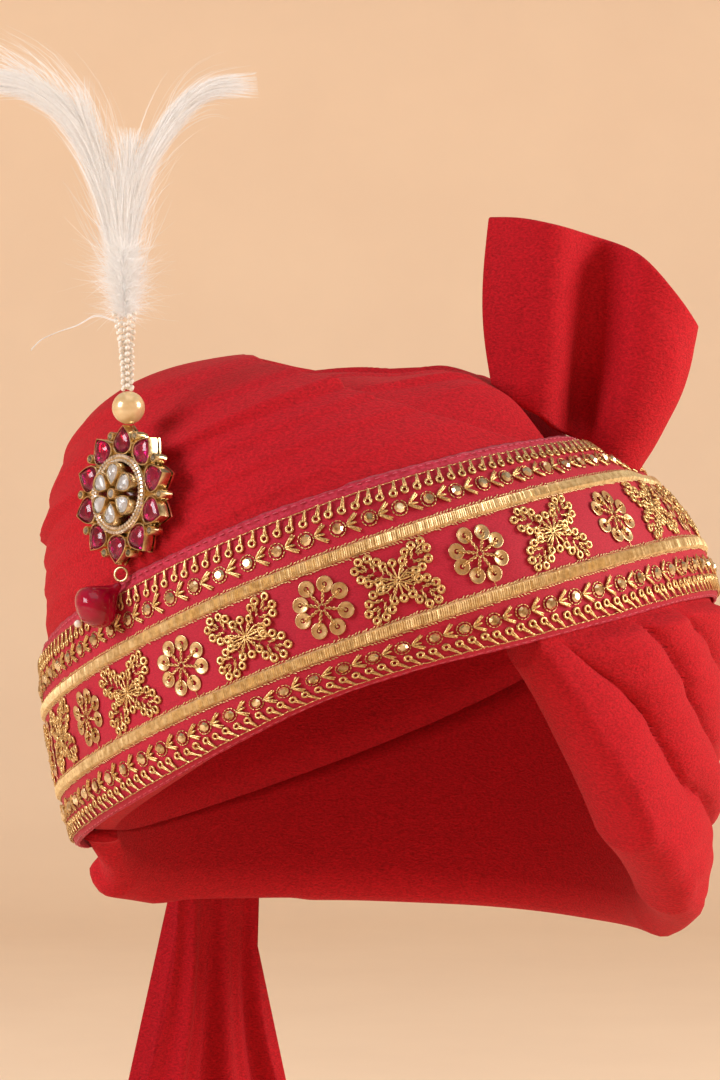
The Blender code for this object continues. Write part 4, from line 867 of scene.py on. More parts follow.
class Border:
    """Wraps flat places onto the border's outer face."""

    def __init__(self):
        self.az = np.linspace(-math.pi, math.pi, MAP_COLUMNS + 1)
        centre = lifted(self.az, elevation_where(self.az, band_plane), np.full(MAP_COLUMNS + 1, BAND_THICK))
        run = np.concatenate([[0.0], np.cumsum(np.linalg.norm(np.diff(centre, axis=0), axis=1))])
        self.length = run[-1]
        self.u = run - np.interp(0.0, self.az, run)
        self.v = np.linspace(-MAP_REACH, MAP_REACH, MAP_ROWS + 1)
        at = band_place(self.az[:, None], self.v[None, :])
        self.points, self.normals = form(*at), form_normal(*at)

    def azimuth(self, u):
        """Where round the turban a distance along the border is."""
        return np.interp(np.mod(u - self.u[0], self.length) + self.u[0], self.u, self.az)

    def wrap(self, flat):
        """Points in the row frame of flat (u, v, w) places; w is measured from the cloth's outer face."""
        az = self.azimuth(flat[..., 0])
        squeeze = (band_below(az) - FIELD_EDGE) / (BAND_BELOW - FIELD_EDGE)
        v = flat[..., 1]
        v = np.where(v < -FIELD_EDGE, -FIELD_EDGE + (v + FIELD_EDGE) * squeeze, v)
        i = np.clip((az + math.pi) / (2 * math.pi) * MAP_COLUMNS, 0, MAP_COLUMNS - 0.001)
        k = np.clip((v - self.v[0]) / (self.v[1] - self.v[0]), 0, MAP_ROWS - 0.001)
        i0, k0 = i.astype(int), k.astype(int)
        s, t = (i - i0)[..., None], (k - k0)[..., None]
        mixed = []
        for field in (self.points, self.normals):
            low = field[i0, k0] * (1 - s) + field[i0 + 1, k0] * s
            high = field[i0, k0 + 1] * (1 - s) + field[i0 + 1, k0 + 1] * s
            mixed.append(low * (1 - t) + high * t)
        return mixed[0] + unit(mixed[1]) * (flat[..., 2] + BAND_THICK)[..., None]


BORDER_MAP = Border()
BORDER_COLUMNS = 720
SHEER_FROM = 0.0302
SHEER_SINKS = 0.0010


def stamp(shape, places):
    """Copies of a flat shape at places made by spot."""
    points, faces = shape
    places = np.asarray(places, float)
    turn = places[:, 3][:, None]
    x = points[None, :, 0] * places[:, 4][:, None]
    y = points[None, :, 1] * places[:, 5][:, None]
    z = points[None, :, 2] + x * np.tan(places[:, 6])[:, None] + y * np.tan(places[:, 7])[:, None]
    u = places[:, 0][:, None] + x * np.cos(turn) - y * np.sin(turn)
    v = places[:, 1][:, None] + x * np.sin(turn) + y * np.cos(turn)
    copies = xyz(u, v, z + places[:, 2][:, None]).reshape(-1, 3)
    all_faces = []
    for start in range(0, len(points) * len(places), len(points)):
        all_faces += [[start + c for c in face] for face in faces]
    return copies, all_faces


def joined(parts):
    """One mesh of several."""
    points, faces, start = [], [], 0
    for part_points, part_faces in parts:
        points.append(part_points)
        faces += [[start + c for c in face] for face in part_faces]
        start += len(part_points)
    return np.concatenate(points), faces


def spot(u, v, w=0.0, turn=0.0, along=1.0, across=1.0, tip=0.0, roll=0.0):
    """A place for a copy: where it lies, how it is turned and stretched, and how it tips along and across."""
    return (u, v, w, turn, along, across, tip, roll)


def torus(radius, wire, sides, around, flat=1.0):
    """A ring lying on the cloth."""
    a, b = turns(around)[:, None], turns(sides)
    reach = radius + wire * np.cos(b)
    points = xyz(np.cos(a) * reach, np.sin(a) * reach, wire * flat * (np.sin(b) + 1.0))
    return points.reshape(-1, 3), grid(around, sides, True, wrapped=True)


def cupped_disc(outer, hole, around=18):
    """A sequin: a thin flat disc with a hole and a slightly raised rim."""
    radii = np.array([hole, hole * 1.3, outer * 0.82, outer * 0.93, outer, outer * 0.97])
    heights = np.array([0.16, 0.22, 0.20, 0.30, 0.22, 0.02]) * 0.001
    a = turns(around)[:, None]
    points = xyz(np.cos(a) * radii, np.sin(a) * radii, heights)
    return points.reshape(-1, 3), grid(around, len(radii), True)


def rod(length, radius, sides, rings, start=0.0, bumps=0.0):
    """A round-ended stem lying along +u from its start."""
    t = np.linspace(0, 1, rings)
    x = start + length * (0.5 - 0.5 * np.cos(math.pi * t))
    reach = radius * np.maximum(np.sin(math.pi * t), 0.18) ** 0.5
    reach = (reach * (1.0 + bumps * (np.arange(rings) % 2)))[:, None]
    b = turns(sides)
    points = xyz(x[:, None], reach * np.cos(b), reach * np.sin(b) + radius)
    return points.reshape(-1, 3), capped(rings, sides)


def rope(length, radius, twist, rings, start=0.0, sides=4):
    """A stem of two coiled strands lying along +u."""
    strands = []
    b = turns(sides)
    t = np.linspace(0, 1, rings)[:, None]
    wire = radius * 0.85 * np.maximum(np.sin(math.pi * np.clip(t, 0.03, 0.97)), 0.2) ** 0.3
    for strand in range(2):
        phase = twist * t * 2 * math.pi + strand * math.pi
        y = radius * np.cos(phase) + wire * np.cos(b)
        z = radius * np.sin(phase) * 0.6 + 1.5 * radius + wire * np.sin(b)
        strands.append((xyz(start + length * t, y, z).reshape(-1, 3), capped(rings, sides)))
    return joined(strands)


def bead(radius, sides, rings):
    """A ball on the cloth."""
    t = math.pi * np.arange(1, rings)[:, None] / rings
    b = turns(sides)
    points = xyz(radius * np.sin(t) * np.cos(b), radius * np.sin(t) * np.sin(b), radius * (1.0 - np.cos(t)))
    points = np.concatenate([points.reshape(-1, 3), [[0, 0, 0], [0, 0, 2 * radius]]])
    return points, pointed(rings - 1, sides)


def crystal(radius, height, sides=8):
    """A cut stone with a table."""
    a = turns(sides)
    rings = ((1.0, 0.0), (1.05, 0.45), (0.62, 1.0))
    points = [xyz(r * radius * np.cos(a), r * radius * np.sin(a), h * height) for r, h in rings]
    table_face = [2 * sides + k for k in range(sides)]
    return np.concatenate(points), grid(3, sides, False, wrapped=True, flip=True) + [table_face]


def sewn(name, parts, stuff, slot="gold_thread", angle=None):
    """A joined mesh of flat embroidery, wrapped on the border."""
    points, faces = joined(parts)
    piece(name, BORDER_MAP.wrap(points), faces, stuff, slot, angle=angle, outward=False)


def along_border(count):
    """Equal steps once round the border."""
    return np.arange(count) * BORDER_MAP.length / count


def border():
    """The lace strip itself, with sheer hems."""
    u = along_border(BORDER_COLUMNS)
    lower, upper = np.linspace(-BAND_BELOW, -SHEER_FROM, 4)[:-1], np.linspace(SHEER_FROM, BAND_ABOVE, 5)[1:]
    v = np.concatenate([lower, np.linspace(-SHEER_FROM, SHEER_FROM, 14), upper])
    flat = xyz(u[:, None], v[None, :], 0.0)
    flat[..., 2] += 0.00012 * ripple(flat, 0.012, 41)
    sheer = smooth((np.abs(flat[..., 1]) - SHEER_FROM + 0.0002) / 0.0006)
    frill = 0.00012 * np.sin(flat[..., 0] * 900) + 0.0002 * np.sin(flat[..., 0] * 123 + 1)
    flat[..., 2] -= sheer * SHEER_SINKS
    flat[:, 0, 1] += frill[:, 0] * 0.5
    flat[:, -1, 1] += frill[:, -1]
    outer = BORDER_MAP.wrap(flat)
    under = flat[:, ::3][:, ::-1].copy()
    under[..., 2] = -BAND_THICK + 0.0001
    points, faces = loft(np.concatenate([outer, BORDER_MAP.wrap(under)], axis=1), True)
    uv = np.concatenate([flat, under], axis=1)[..., :2].reshape(-1, 2)
    made = piece("border_cloth", points, faces, BORDER, "border_crepe", ["border_band"], uv=uv)


RIB_STEP = 0.00035
RIB_HEIGHT = 0.00020


def braid(name, centre, node):
    """A ribbed gold braid."""
    count = int(BORDER_MAP.length / RIB_STEP) // 2 * 2
    rows = 7
    u = along_border(count)
    across = np.linspace(-1, 1, rows)
    rng = np.random.default_rng(int(abs(centre) * 1e5) + (centre > 0))
    rib = RIB_HEIGHT * np.where(np.arange(count) % 2, 1.0, -1.0) * rng.uniform(0.4, 1.6, count)
    height = 0.0003 + BRAID_RISE * np.sqrt(np.maximum(1.0 - np.abs(across) ** 5, 0.0))
    flat = np.zeros((count, rows, 3))
    flat[..., 0] = u[:, None] + 0.0003 * across
    flat[..., 1] = centre + across * BRAID_FACE / 2 * (1.0 + 0.03 * rng.normal(size=count))[:, None]
    flat[..., 2] = height + rib[:, None] * (height > 0.0006)
    flat[:, 0, 2] = 0.0
    flat[:, -1, 2] = 0.0
    points, faces = BORDER_MAP.wrap(flat).reshape(-1, 3), grid(count, rows, True)
    piece(name, points, faces, BRAID, "gold_thread", [node], angle=25, outward=False)


MOTIF_FRONT = (-0.1458, -0.1199, -0.0943, -0.0690, -0.0445, -0.0190, 0.0050, 0.0315, 0.0585, 0.0880, 0.1165)
MOTIFS_BEHIND = 19


def motif_places():
    """Middles of the alternating stars and flowers along the border."""
    last, first = MOTIF_FRONT[-1], MOTIF_FRONT[0] + BORDER_MAP.length
    behind = np.linspace(last, first, MOTIFS_BEHIND + 2)[1:-1]
    middles = list(MOTIF_FRONT) + list(behind)
    return middles[0::2], middles[1::2]


# Ring sequins of one star arm, along and beside it in metres, inner ones last
STAR_ARM = (
    (0.0132, 0.0015),
    (0.0130, -0.0015),
    (0.0108, 0.0033),
    (0.0106, -0.0033),
    (0.0080, 0.0034),
    (0.0078, -0.0034),
    (0.0055, 0.0024),
    (0.0053, -0.0024),
)
STAR_SPREAD = math.radians(36)
STAR_INNER = (0.0, math.pi / 2, math.pi, -math.pi / 2)
STAR_INNER_REACH = 0.0054
STAR_STEM = 0.0030
FLOWER_REACH = 0.0069
FLOWER_SEQUINS = 8
SEQUIN_RADIUS = 0.00252
SEQUIN_HOLE = 0.00078

# Rows along both edges
LOOP_PITCH = 0.00415
LOOP_REACH = 0.0037
LOOP_TAIL = 0.0040
CORD_PITCH = 0.0021
STONE_PITCH = 0.0099
STONE_ROW = 0.0205
HALO_BEADS = 13
HALO_REACH = 0.0024
SPRIG = ((0.55, 1.15), (0.02, 0.80), (-0.55, 1.15))
EDGE_STITCH_PITCH = 0.00115
HEM_STITCH_PITCH = 0.0031
HEM_STITCH_LINES = (0.0322, -0.0304)


def flowers(middles):
    """Sequin flowers: eight sequins held by coiled stems."""
    rng = np.random.default_rng(7)
    discs, stems, knots, hearts, threads = [], [], [], [], []
    for u in middles:
        for k in range(FLOWER_SEQUINS):
            angle = 2 * math.pi * k / FLOWER_SEQUINS + math.pi / 9 + rng.normal() * 0.05
            reach = FLOWER_REACH * rng.uniform(0.95, 1.06)
            at = (u + reach * math.cos(angle), reach * math.sin(angle))
            tips = rng.normal(size=2) * 0.05
            discs.append(spot(*at, 0.00035 + 0.0001 * (k % 2), angle, tip=tips[0] + 0.02, roll=tips[1]))
            stems.append(spot(u, 0.0, 0.0004, angle + rng.normal() * 0.03, along=reach / 0.007))
            knots.append(spot(*at, 0.0007, angle))
            hearts.append(spot(u + 0.0009 * math.cos(angle), 0.0009 * math.sin(angle), 0.0005, angle))
        threads.append(spot(u + 0.0015, -0.0085, 0.0003, math.radians(-84)))
    sewn("sequins", [stamp(cupped_disc(SEQUIN_RADIUS, SEQUIN_HOLE), discs)], SEQUIN)
    return [
        stamp(rope(0.0058, 0.00034, 2.2, 14, start=0.0009), stems),
        stamp(bead(0.00042, 7, 5), knots),
        stamp(bead(0.00028, 6, 4), hearts),
        stamp(rod(0.0030, 0.00013, 4, 4), threads),
    ]


def stars(middles):
    """Four-armed stars of little ring sequins on herringbone stems."""
    rng = np.random.default_rng(11)
    rings, stems, spokes = [], [], []
    for u in middles:
        for axis in (STAR_SPREAD, math.pi - STAR_SPREAD, math.pi + STAR_SPREAD, -STAR_SPREAD):
            ahead = np.array([math.cos(axis), math.sin(axis)])
            beside = np.array([-math.sin(axis), math.cos(axis)])
            for out, aside in STAR_ARM:
                ring_at = ahead * out + beside * aside + rng.normal(size=2) * 0.00015
                root = ahead * (out - 0.0034) + beside * aside * 0.12
                lean = rng.normal(size=2) * 0.10
                lift = rng.uniform(0.0, 0.0004)
                rings.append(spot(u + ring_at[0], ring_at[1], lift, roll=lean[0], tip=lean[1]))
                reach = ring_at - root
                size = float(np.hypot(*reach)) - 0.0004
                turn = math.atan2(reach[1], reach[0])
                lift = rng.uniform(0.0001, 0.0005)
                stems.append(spot(u + root[0], root[1], lift, turn, along=size / STAR_STEM))
        for angle in STAR_INNER:
            aside, up = STAR_INNER_REACH * math.cos(angle), STAR_INNER_REACH * math.sin(angle)
            rings.append(spot(u + aside, up, 0.0002))
        for k in range(12):
            turn = k * math.pi / 6 + rng.normal() * 0.05
            spokes.append(spot(u, 0.0, 0.0004, turn, along=rng.uniform(0.9, 1.05)))
    return [
        stamp(torus(0.00098, 0.00052, 5, 12, flat=0.8), rings),
        stamp(rope(STAR_STEM, 0.00036, 1.2, 6), stems),
        stamp(rod(0.0044, 0.00034, 5, 6, start=0.0003, bumps=0.1), spokes),
    ]


def edge_loops():
    """Comma-shaped loops along both edges, with the fine cords that they hang from."""
    rng = np.random.default_rng(13)
    rings, tails, cords = [], [], []
    for side, line, slant in ((1.0, 0.0292, 72.0), (-1.0, -0.0288, -50.0)):
        for step in along_border(round(BORDER_MAP.length / LOOP_PITCH)):
            u = step + rng.normal() * 0.00012
            turn = math.radians(slant + rng.normal() * 5)
            v = line - side * (LOOP_REACH + rng.normal() * 0.0001)
            lift = rng.uniform(0.0, 0.0002)
            rings.append(spot(u, v, lift, tip=rng.normal() * 0.06, roll=rng.normal() * 0.06))
            reach = abs(line - v) / abs(math.sin(turn))
            for aside in (-0.00042, 0.00042):
                foot = (u + aside * math.sin(turn) + 0.0004, v - aside * math.cos(turn) + side * 0.0004)
                tails.append(spot(*foot, 0.0003, turn + aside * 260, along=(reach - 0.0003) / LOOP_TAIL))
        for u in along_border(round(BORDER_MAP.length / CORD_PITCH)):
            v = line + rng.normal() * 0.00006
            cords.append(spot(u, v, 0.0, rng.normal() * 0.05))
    return [
        stamp(torus(0.00102, 0.00048, 5, 11, flat=0.85), rings),
        stamp(rod(LOOP_TAIL, 0.00040, 4, 5, bumps=0.08), tails),
        stamp(rod(0.0023, 0.00026, 4, 3), cords),
    ]


def stone_rows():
    """Crystals ringed with tiny beads, and sprigs of three leaves between them."""
    rng = np.random.default_rng(17)
    stones, halos, leaves = [], [], []
    count = round(BORDER_MAP.length / STONE_PITCH)
    pitch = BORDER_MAP.length / count
    for side in (1.0, -1.0):
        v = STONE_ROW * side
        for k in range(count):
            u = (k + (0.3 if side > 0 else 0.0)) * pitch + rng.normal() * 0.0002
            turn = rng.uniform(0, 1)
            stones.append(spot(u, v, 0.0002, turn, tip=rng.normal() * 0.10, roll=rng.normal() * 0.10))
            for turn in turns(HALO_BEADS):
                angle = turn + rng.normal() * 0.04
                across, up = HALO_REACH * math.cos(angle), HALO_REACH * math.sin(angle)
                halos.append(spot(u + across, v + up, 0.0, angle + 1.57))
            for angle, size in SPRIG:
                turn = angle + rng.normal() * 0.08
                leaves.append(spot(u + 0.0028, v, 0.0001, turn, along=size))
                over = v + 0.0003 * math.sin(angle * 3)
                leaves.append(spot(u + 0.0030, over, 0.0003, turn * 1.25, along=size * 0.9))
    sewn("border_stones", [stamp(crystal(0.0017, 0.0013), stones)], CRYSTAL, angle=20)
    halo = rod(0.00095, 0.00030, 4, 3, start=-0.0004)
    return [stamp(halo, halos), stamp(rod(0.0041, 0.00044, 5, 6), leaves)]


def braid_edges():
    """Tiny slanted stitches along both sides of each braid."""
    rng = np.random.default_rng(19)
    stitches = []
    for centre in (BRAID_OFFSET, -BRAID_OFFSET):
        for side in (1.0, -1.0):
            for u in along_border(round(BORDER_MAP.length / EDGE_STITCH_PITCH)):
                v = centre + side * (BRAID_FACE / 2 + 0.0001) + rng.normal() * 0.00006
                stitches.append(spot(u, v, 0.0001, 0.35 * side + rng.normal() * 0.2))
    return [stamp(rod(0.0011, 0.00023, 4, 3), stitches)]


def hem_stitches():
    """Running stitches near the outer edge of both hems."""
    steps = along_border(round(BORDER_MAP.length / HEM_STITCH_PITCH))
    stitches = [spot(u, v, -0.0008) for v in HEM_STITCH_LINES for u in steps]
    thread = finish("hem_thread", (0.62, 0.06, 0.12), 0.6, Sheen_Weight=0.3)
    sewn("hem_stitches", [stamp(rod(0.0018, 0.00018, 4, 4), stitches)], thread, slot="border_crepe")


def embroidery():
    """Everything sewn on the border."""
    star_middles, flower_middles = motif_places()
    sewn("flower_stems", flowers(flower_middles), COIL)
    sewn("ring_stars", stars(star_middles), COIL)
    sewn("edge_loops", edge_loops(), COIL)
    sewn("stone_row_work", stone_rows(), COIL)
    sewn("braid_stitches", braid_edges(), BRAID)
    hem_stitches()
    braid("braid_upper", BRAID_OFFSET, "gold_braid_upper")
    braid("braid_lower", -BRAID_OFFSET, "gold_braid_lower")


# Brooch, in its own frame: right, up and out of the cloth

KALGI_AZIMUTH = math.radians(-45)
KALGI_Z = -0.0320
KALGI_TILT = math.radians(4)
SHELF = 0.0051
POLKI_LIFT = 0.0034
FRONT_PLATE = 0.0172
PLATE_BASE = 0.0030
PLATE_TOP = 0.0046
CUP_TOP = 0.0064
BACK_BASE = 0.0018
BACK_TOP = 0.0024
GAP = 0.0003
PETALS = 10
PETAL_INNER = 0.0130
PETAL_OUTER = 0.0207
PETAL_HALF = 0.0037
POLKI = 6
POLKI_INNER = 0.0030
POLKI_OUTER = 0.0091
POLKI_HALF = 0.0025
ROUND_AT = 0.0189
ROUND_STONE = 0.0009
CENTRE_STONE = 0.0012
HALO_INNER = 0.0100
HALO_OUTER = 0.0124
LOOP_AT = -0.0207
POST_AT = 0.0195
POST_RADIUS = 0.00045
SEAT_RADIUS = 0.0130
SCROLLS = 40
SCROLL_AT = 0.0176
SCROLL_DEPTH = 0.0032
LIFTS = {"petal": 0.0, "round": 0.0, "polki": POLKI_LIFT, "centre": POLKI_LIFT}
CUP_TOPS = {kind: CUP_TOP + lift for kind, lift in LIFTS.items()}
# Upper rings of a cut stone: share of its girdle and height over its setting
DOMED_CUT = ((0.82, 0.00035), (0.50, 0.00075))
FLAT_CUT = ((0.72, 0.0002), (0.34, 0.0005))
WALLS = {"petal": 0.0005, "round": 0.0005, "polki": 0.00062, "centre": 0.0006}


class Kalgi:
    """The brooch's own frame, found from its middle stone."""

    def __init__(self):
        el = elevation_where(np.array(KALGI_AZIMUTH), lambda point: KALGI_Z)
        facing = form_normal(np.array(KALGI_AZIMUTH), el)
        level = unit(np.array([facing[0], facing[1], 0.0]))
        upright = np.array([0.0, 0.0, 1.0])
        self.out = level * math.cos(KALGI_TILT) + upright * math.sin(KALGI_TILT)
        self.up = upright * math.cos(KALGI_TILT) - level * math.sin(KALGI_TILT)
        self.right = np.cross(self.up, self.out)
        stone = np.array([v.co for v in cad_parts["polki_centre"].data.vertices])
        depths = stone @ self.out
        middle = stone.mean(axis=0)
        self.centre = middle + self.out * (depths.min() - SHELF - POLKI_LIFT - float(middle @ self.out))

    def at(self, local):
        """Points in the row frame of local (right, up, out) places."""
        return self.centre + local @ np.stack([self.right, self.up, self.out])


KALGI = Kalgi()


def pear(inner, outer, half, turn, grow, count, tip_out=True):
    """A pear outline pointing out from, or in to, the middle of the brooch."""
    angle = turns(count)
    way = 1.0 if tip_out else -1.0
    radial = (inner + outer) / 2 + ((outer - inner) / 2 + grow) * np.cos(angle) * way
    lateral = (half + grow) / 0.77 * np.sin(angle) * np.sin(angle / 2) * way
    right = radial * math.sin(turn) + lateral * math.cos(turn)
    return np.stack([right, radial * math.cos(turn) - lateral * math.sin(turn)], axis=-1)


def circle(radius, count, at=0.0, turn=0.0):
    """A circle, its middle at a distance from the brooch's own."""
    angle = turns(count)
    right = at * math.sin(turn) + radius * np.sin(angle)
    return np.stack([right, at * math.cos(turn) + radius * np.cos(angle)], axis=-1)


def setting(kind, turn, grow, count):
    """The outline of one setting, grown from its stone's edge."""
    if kind == "petal":
        return pear(PETAL_INNER, PETAL_OUTER, PETAL_HALF, turn, grow, count)
    if kind == "polki":
        return pear(POLKI_INNER, POLKI_OUTER, POLKI_HALF, turn, grow, count, tip_out=False)
    if kind == "round":
        return circle(ROUND_STONE + grow, count, ROUND_AT, turn)
    return circle(CENTRE_STONE + grow, count)


def settings():
    """Every stone's kind, name and turn."""
    found = [("petal", f"ruby_petal_{i + 1}", 2 * math.pi * i / PETALS) for i in range(PETALS)]
    found += [("round", f"round_stone_{i + 1}", 2 * math.pi * (i + 0.5) / PETALS) for i in range(PETALS)]
    found += [("polki", f"polki_petal_{i + 1}", 2 * math.pi * i / POLKI) for i in range(POLKI)]
    return found + [("centre", "polki_centre", 0.0)]


def stack(rings):
    """A closed body through outlines at their depths."""
    sections = np.array([xyz(outline[:, 0], outline[:, 1], depth) for outline, depth in rings])
    return sections.reshape(-1, 3), capped(*sections.shape[:2])


def slab(outline, low, high):
    """A flat plate of one outline."""
    return stack(((outline, low), (outline, high)))


def shrunk(outline, share):
    """An outline drawn in towards its own middle."""
    middle = outline.mean(axis=0)
    return middle + (outline - middle) * share


def collet(kind, turn, top, wall, floor):
    """A rounded gold wall round an open pocket."""
    count = 40 if kind in ("petal", "polki") else 20
    inset = GAP if kind == "petal" else 0.0

    def ring(grow, depth):
        """The setting's outline at a depth."""
        return setting(kind, turn, grow, count), depth

    return stack(
        (
            ring(inset + wall, PLATE_BASE),
            ring(inset + wall, top - wall * 0.4),
            ring(inset + wall * 0.75, top),
            ring(inset + wall * 0.25, top),
            ring(inset, top - wall * 0.4),
            ring(inset, floor),
        )
    )


def revolved(profile, count):
    """A ring-shaped body from a closed profile of (radius, depth)."""
    angle = turns(count)[:, None]
    radius, depth = np.array(profile).T
    points = xyz(radius * np.sin(angle), radius * np.cos(angle), depth)
    return points.reshape(-1, 3), grid(count, len(profile), True, wrapped=True)


def square_to(axis):
    """Two directions square to an axis and to each other."""
    helper = np.array([0.0, 0.0, 1.0]) if abs(axis[2]) < 0.9 else np.array([1.0, 0.0, 0.0])
    first = unit(np.cross(axis, helper))
    return first, np.cross(axis, first)


def small_ring(middle, axis, radius, wire, around=14, sides=7):
    """A wire ring round an axis."""
    axis = unit(axis)
    points, faces = torus(radius, wire, sides, around)
    points = points - np.array([0.0, 0.0, wire])
    return middle + points @ np.stack([*square_to(axis), axis]), faces


def radial_way(turn):
    """Outward along the brooch's face at a turn from its top."""
    return np.array([math.sin(turn), math.cos(turn), 0.0])


def brooch_piece(name, parts, stuff, slot, stands_for=(), angle=None):
    """One piece of bodies in the brooch's own frame."""
    points, faces = joined(parts)
    piece(name, KALGI.at(points), faces, stuff, slot, stands_for, angle)


def brooch_gold():
    """Two tiers of antique gold, collets, posts, scrolls and the halo's ring."""
    parts = [slab(circle(SEAT_RADIUS, 48), 0.0, PLATE_BASE)]
    parts.append(slab(circle(FRONT_PLATE, 60), PLATE_BASE, PLATE_TOP))
    parts.append(slab(circle(FRONT_PLATE, 60), BACK_BASE, BACK_TOP))
    for kind, _, turn in settings():
        parts.append(collet(kind, turn, CUP_TOPS[kind], WALLS[kind], PLATE_TOP + 0.0001 + LIFTS[kind]))
        if kind == "petal":
            parts.append(slab(setting(kind, turn, 0.0010, 40), BACK_BASE, BACK_TOP))
            parts.append(slab(circle(POST_RADIUS, 10, POST_AT, turn), BACK_TOP, PLATE_BASE))
        if kind == "round":
            parts.append(slab(circle(0.0015, 20, ROUND_AT - 0.0004, turn), BACK_BASE, PLATE_BASE + 0.0002))
    for i in range(SCROLLS):
        radial = radial_way(2 * math.pi * (i + 0.5) / SCROLLS)
        middle = radial * SCROLL_AT + np.array([0.0, 0.0, SCROLL_DEPTH])
        parts.append(small_ring(middle, radial, 0.00075, 0.00024))
    low, high = PLATE_BASE, CUP_TOP
    halo = ((HALO_INNER, low), (HALO_INNER, high), (0.0104, high + 0.0005), (0.0112, high + 0.0007))
    parts.append(revolved(halo + ((0.0120, high + 0.0005), (HALO_OUTER, high), (HALO_OUTER, low)), 72))
    foot, head, half = LOOP_AT - 0.0009, LOOP_AT + 0.003, 0.0009
    tab = np.array([(-half, foot), (half, foot), (half, head), (-half, head)])
    parts.append(slab(tab, 0.0034, 0.0046))
    brooch_piece("brooch_gold", parts, ANTIQUE, "antique_gold", ["brooch_frame"], angle=32)


def brooch_floor():
    """Dark enamel in the sunk middle, and foil under the ruby and polki stones."""
    enamel = slab(circle(0.0101, 48), PLATE_TOP, PLATE_TOP + 0.00015)
    brooch_piece("brooch_enamel", [enamel], ENAMEL, "antique_gold")
    for name, kind, stuff in (("ruby_foil", "petal", RUBY_FOIL), ("polki_foil", "polki", SILVER_FOIL)):
        level = PLATE_TOP + LIFTS[kind] + 0.0001
        outlines = [setting(kind, turn, 0.0002, 24) for found, _, turn in settings() if found == kind]
        foils = [slab(outline, level, level + 0.00012) for outline in outlines]
        brooch_piece(name, foils, stuff, "antique_gold")


def pave():
    """Two rows of tiny stones on the halo."""
    parts = []
    out = np.array([0.0, 0.0, 1.0])
    points, faces = crystal(0.00058, 0.00062, 6)
    for radius, count, tip in ((0.01055, 54, -0.35), (0.01180, 60, 0.35)):
        for i in range(count):
            turn = 2 * math.pi * (i + 0.25 * (tip > 0)) / count
            radial, beside = radial_way(turn), radial_way(turn + math.pi / 2)
            outward = out * math.cos(tip) + radial * math.sin(tip)
            across = radial * math.cos(tip) - out * math.sin(tip)
            seat = radial * radius + out * (CUP_TOP + 0.00042)
            parts.append((seat + points @ np.stack([beside, across, outward]), faces))
    brooch_piece("halo_stones", parts, PAVE, "champagne_pearl", angle=20)


def brooch_stones():
    """Cut stones: each replaces its own solid."""
    for kind, node, turn in settings():
        girdle = setting(kind, turn, 0.0, {"petal": 14, "round": 8, "polki": 10, "centre": 8}[kind])
        level = CUP_TOPS[kind]
        rings = [(shrunk(girdle, 0.85), SHELF - 0.0002 + LIFTS[kind]), (girdle, level - 0.0004)]
        for share, rise in DOMED_CUT if kind == "petal" else FLAT_CUT:
            rings.append((shrunk(girdle, share), level + rise))
        brooch_piece(f"{node}_cut", [stack(rings)], *STONES[kind], [node], angle=12)


def lathe(origin, axis, profile, sides):
    """A turned body along an axis from (distance, radius) pairs, closed in points at both ends."""
    axis = unit(axis)
    first, second = square_to(axis)
    angle = turns(sides)[:, None]
    way = np.cos(angle) * first + np.sin(angle) * second
    body = np.array([origin + axis * d + way * r for d, r in profile[1:-1]])
    ends = [origin + axis * profile[0][0], origin + axis * profile[-1][0]]
    return np.concatenate([body.reshape(-1, 3), ends]), pointed(len(body), sides)


def ball(middle, radius, sides, rings, axis=(0.0, 0.0, 1.0)):
    """A ball with its poles on an axis."""
    angles = math.pi * np.arange(rings + 1) / rings
    profile = [(-radius * math.cos(a), radius * math.sin(a)) for a in angles]
    return lathe(middle, np.array(axis), profile, sides)


def middle_of(node):
    """Middle of a CAD node's box."""
    low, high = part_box(node)
    return (np.array(low) + np.array(high)) / 2


# Pearl, seed-bead strings and drop

STALK_LEAN = 0.04
PEARL_RADIUS = 0.0051
BUNDLE_LENGTH = 0.0212
BUNDLE_GAP = 0.0003
STRINGS = 6
SEED_PITCH = 0.00178
SEED_RADIUS = 0.00078
RING_RADIUS = 0.0021
RING_WIRE = 0.00042
DROP_PROFILE = (
    (0.0, 0.0),
    (0.02, 0.13),
    (0.08, 0.17),
    (0.16, 0.24),
    (0.30, 0.52),
    (0.46, 0.84),
    (0.56, 0.96),
    (0.64, 1.0),
    (0.72, 0.97),
    (0.82, 0.84),
    (0.90, 0.62),
    (0.96, 0.36),
    (1.0, 0.0),
)
DROP_LENGTH = 0.0165
DROP_RADIUS = 0.0074
END_BEAD_RADIUS = 0.0012

STALK = unit(np.array([-STALK_LEAN, 0.0, 1.0]))


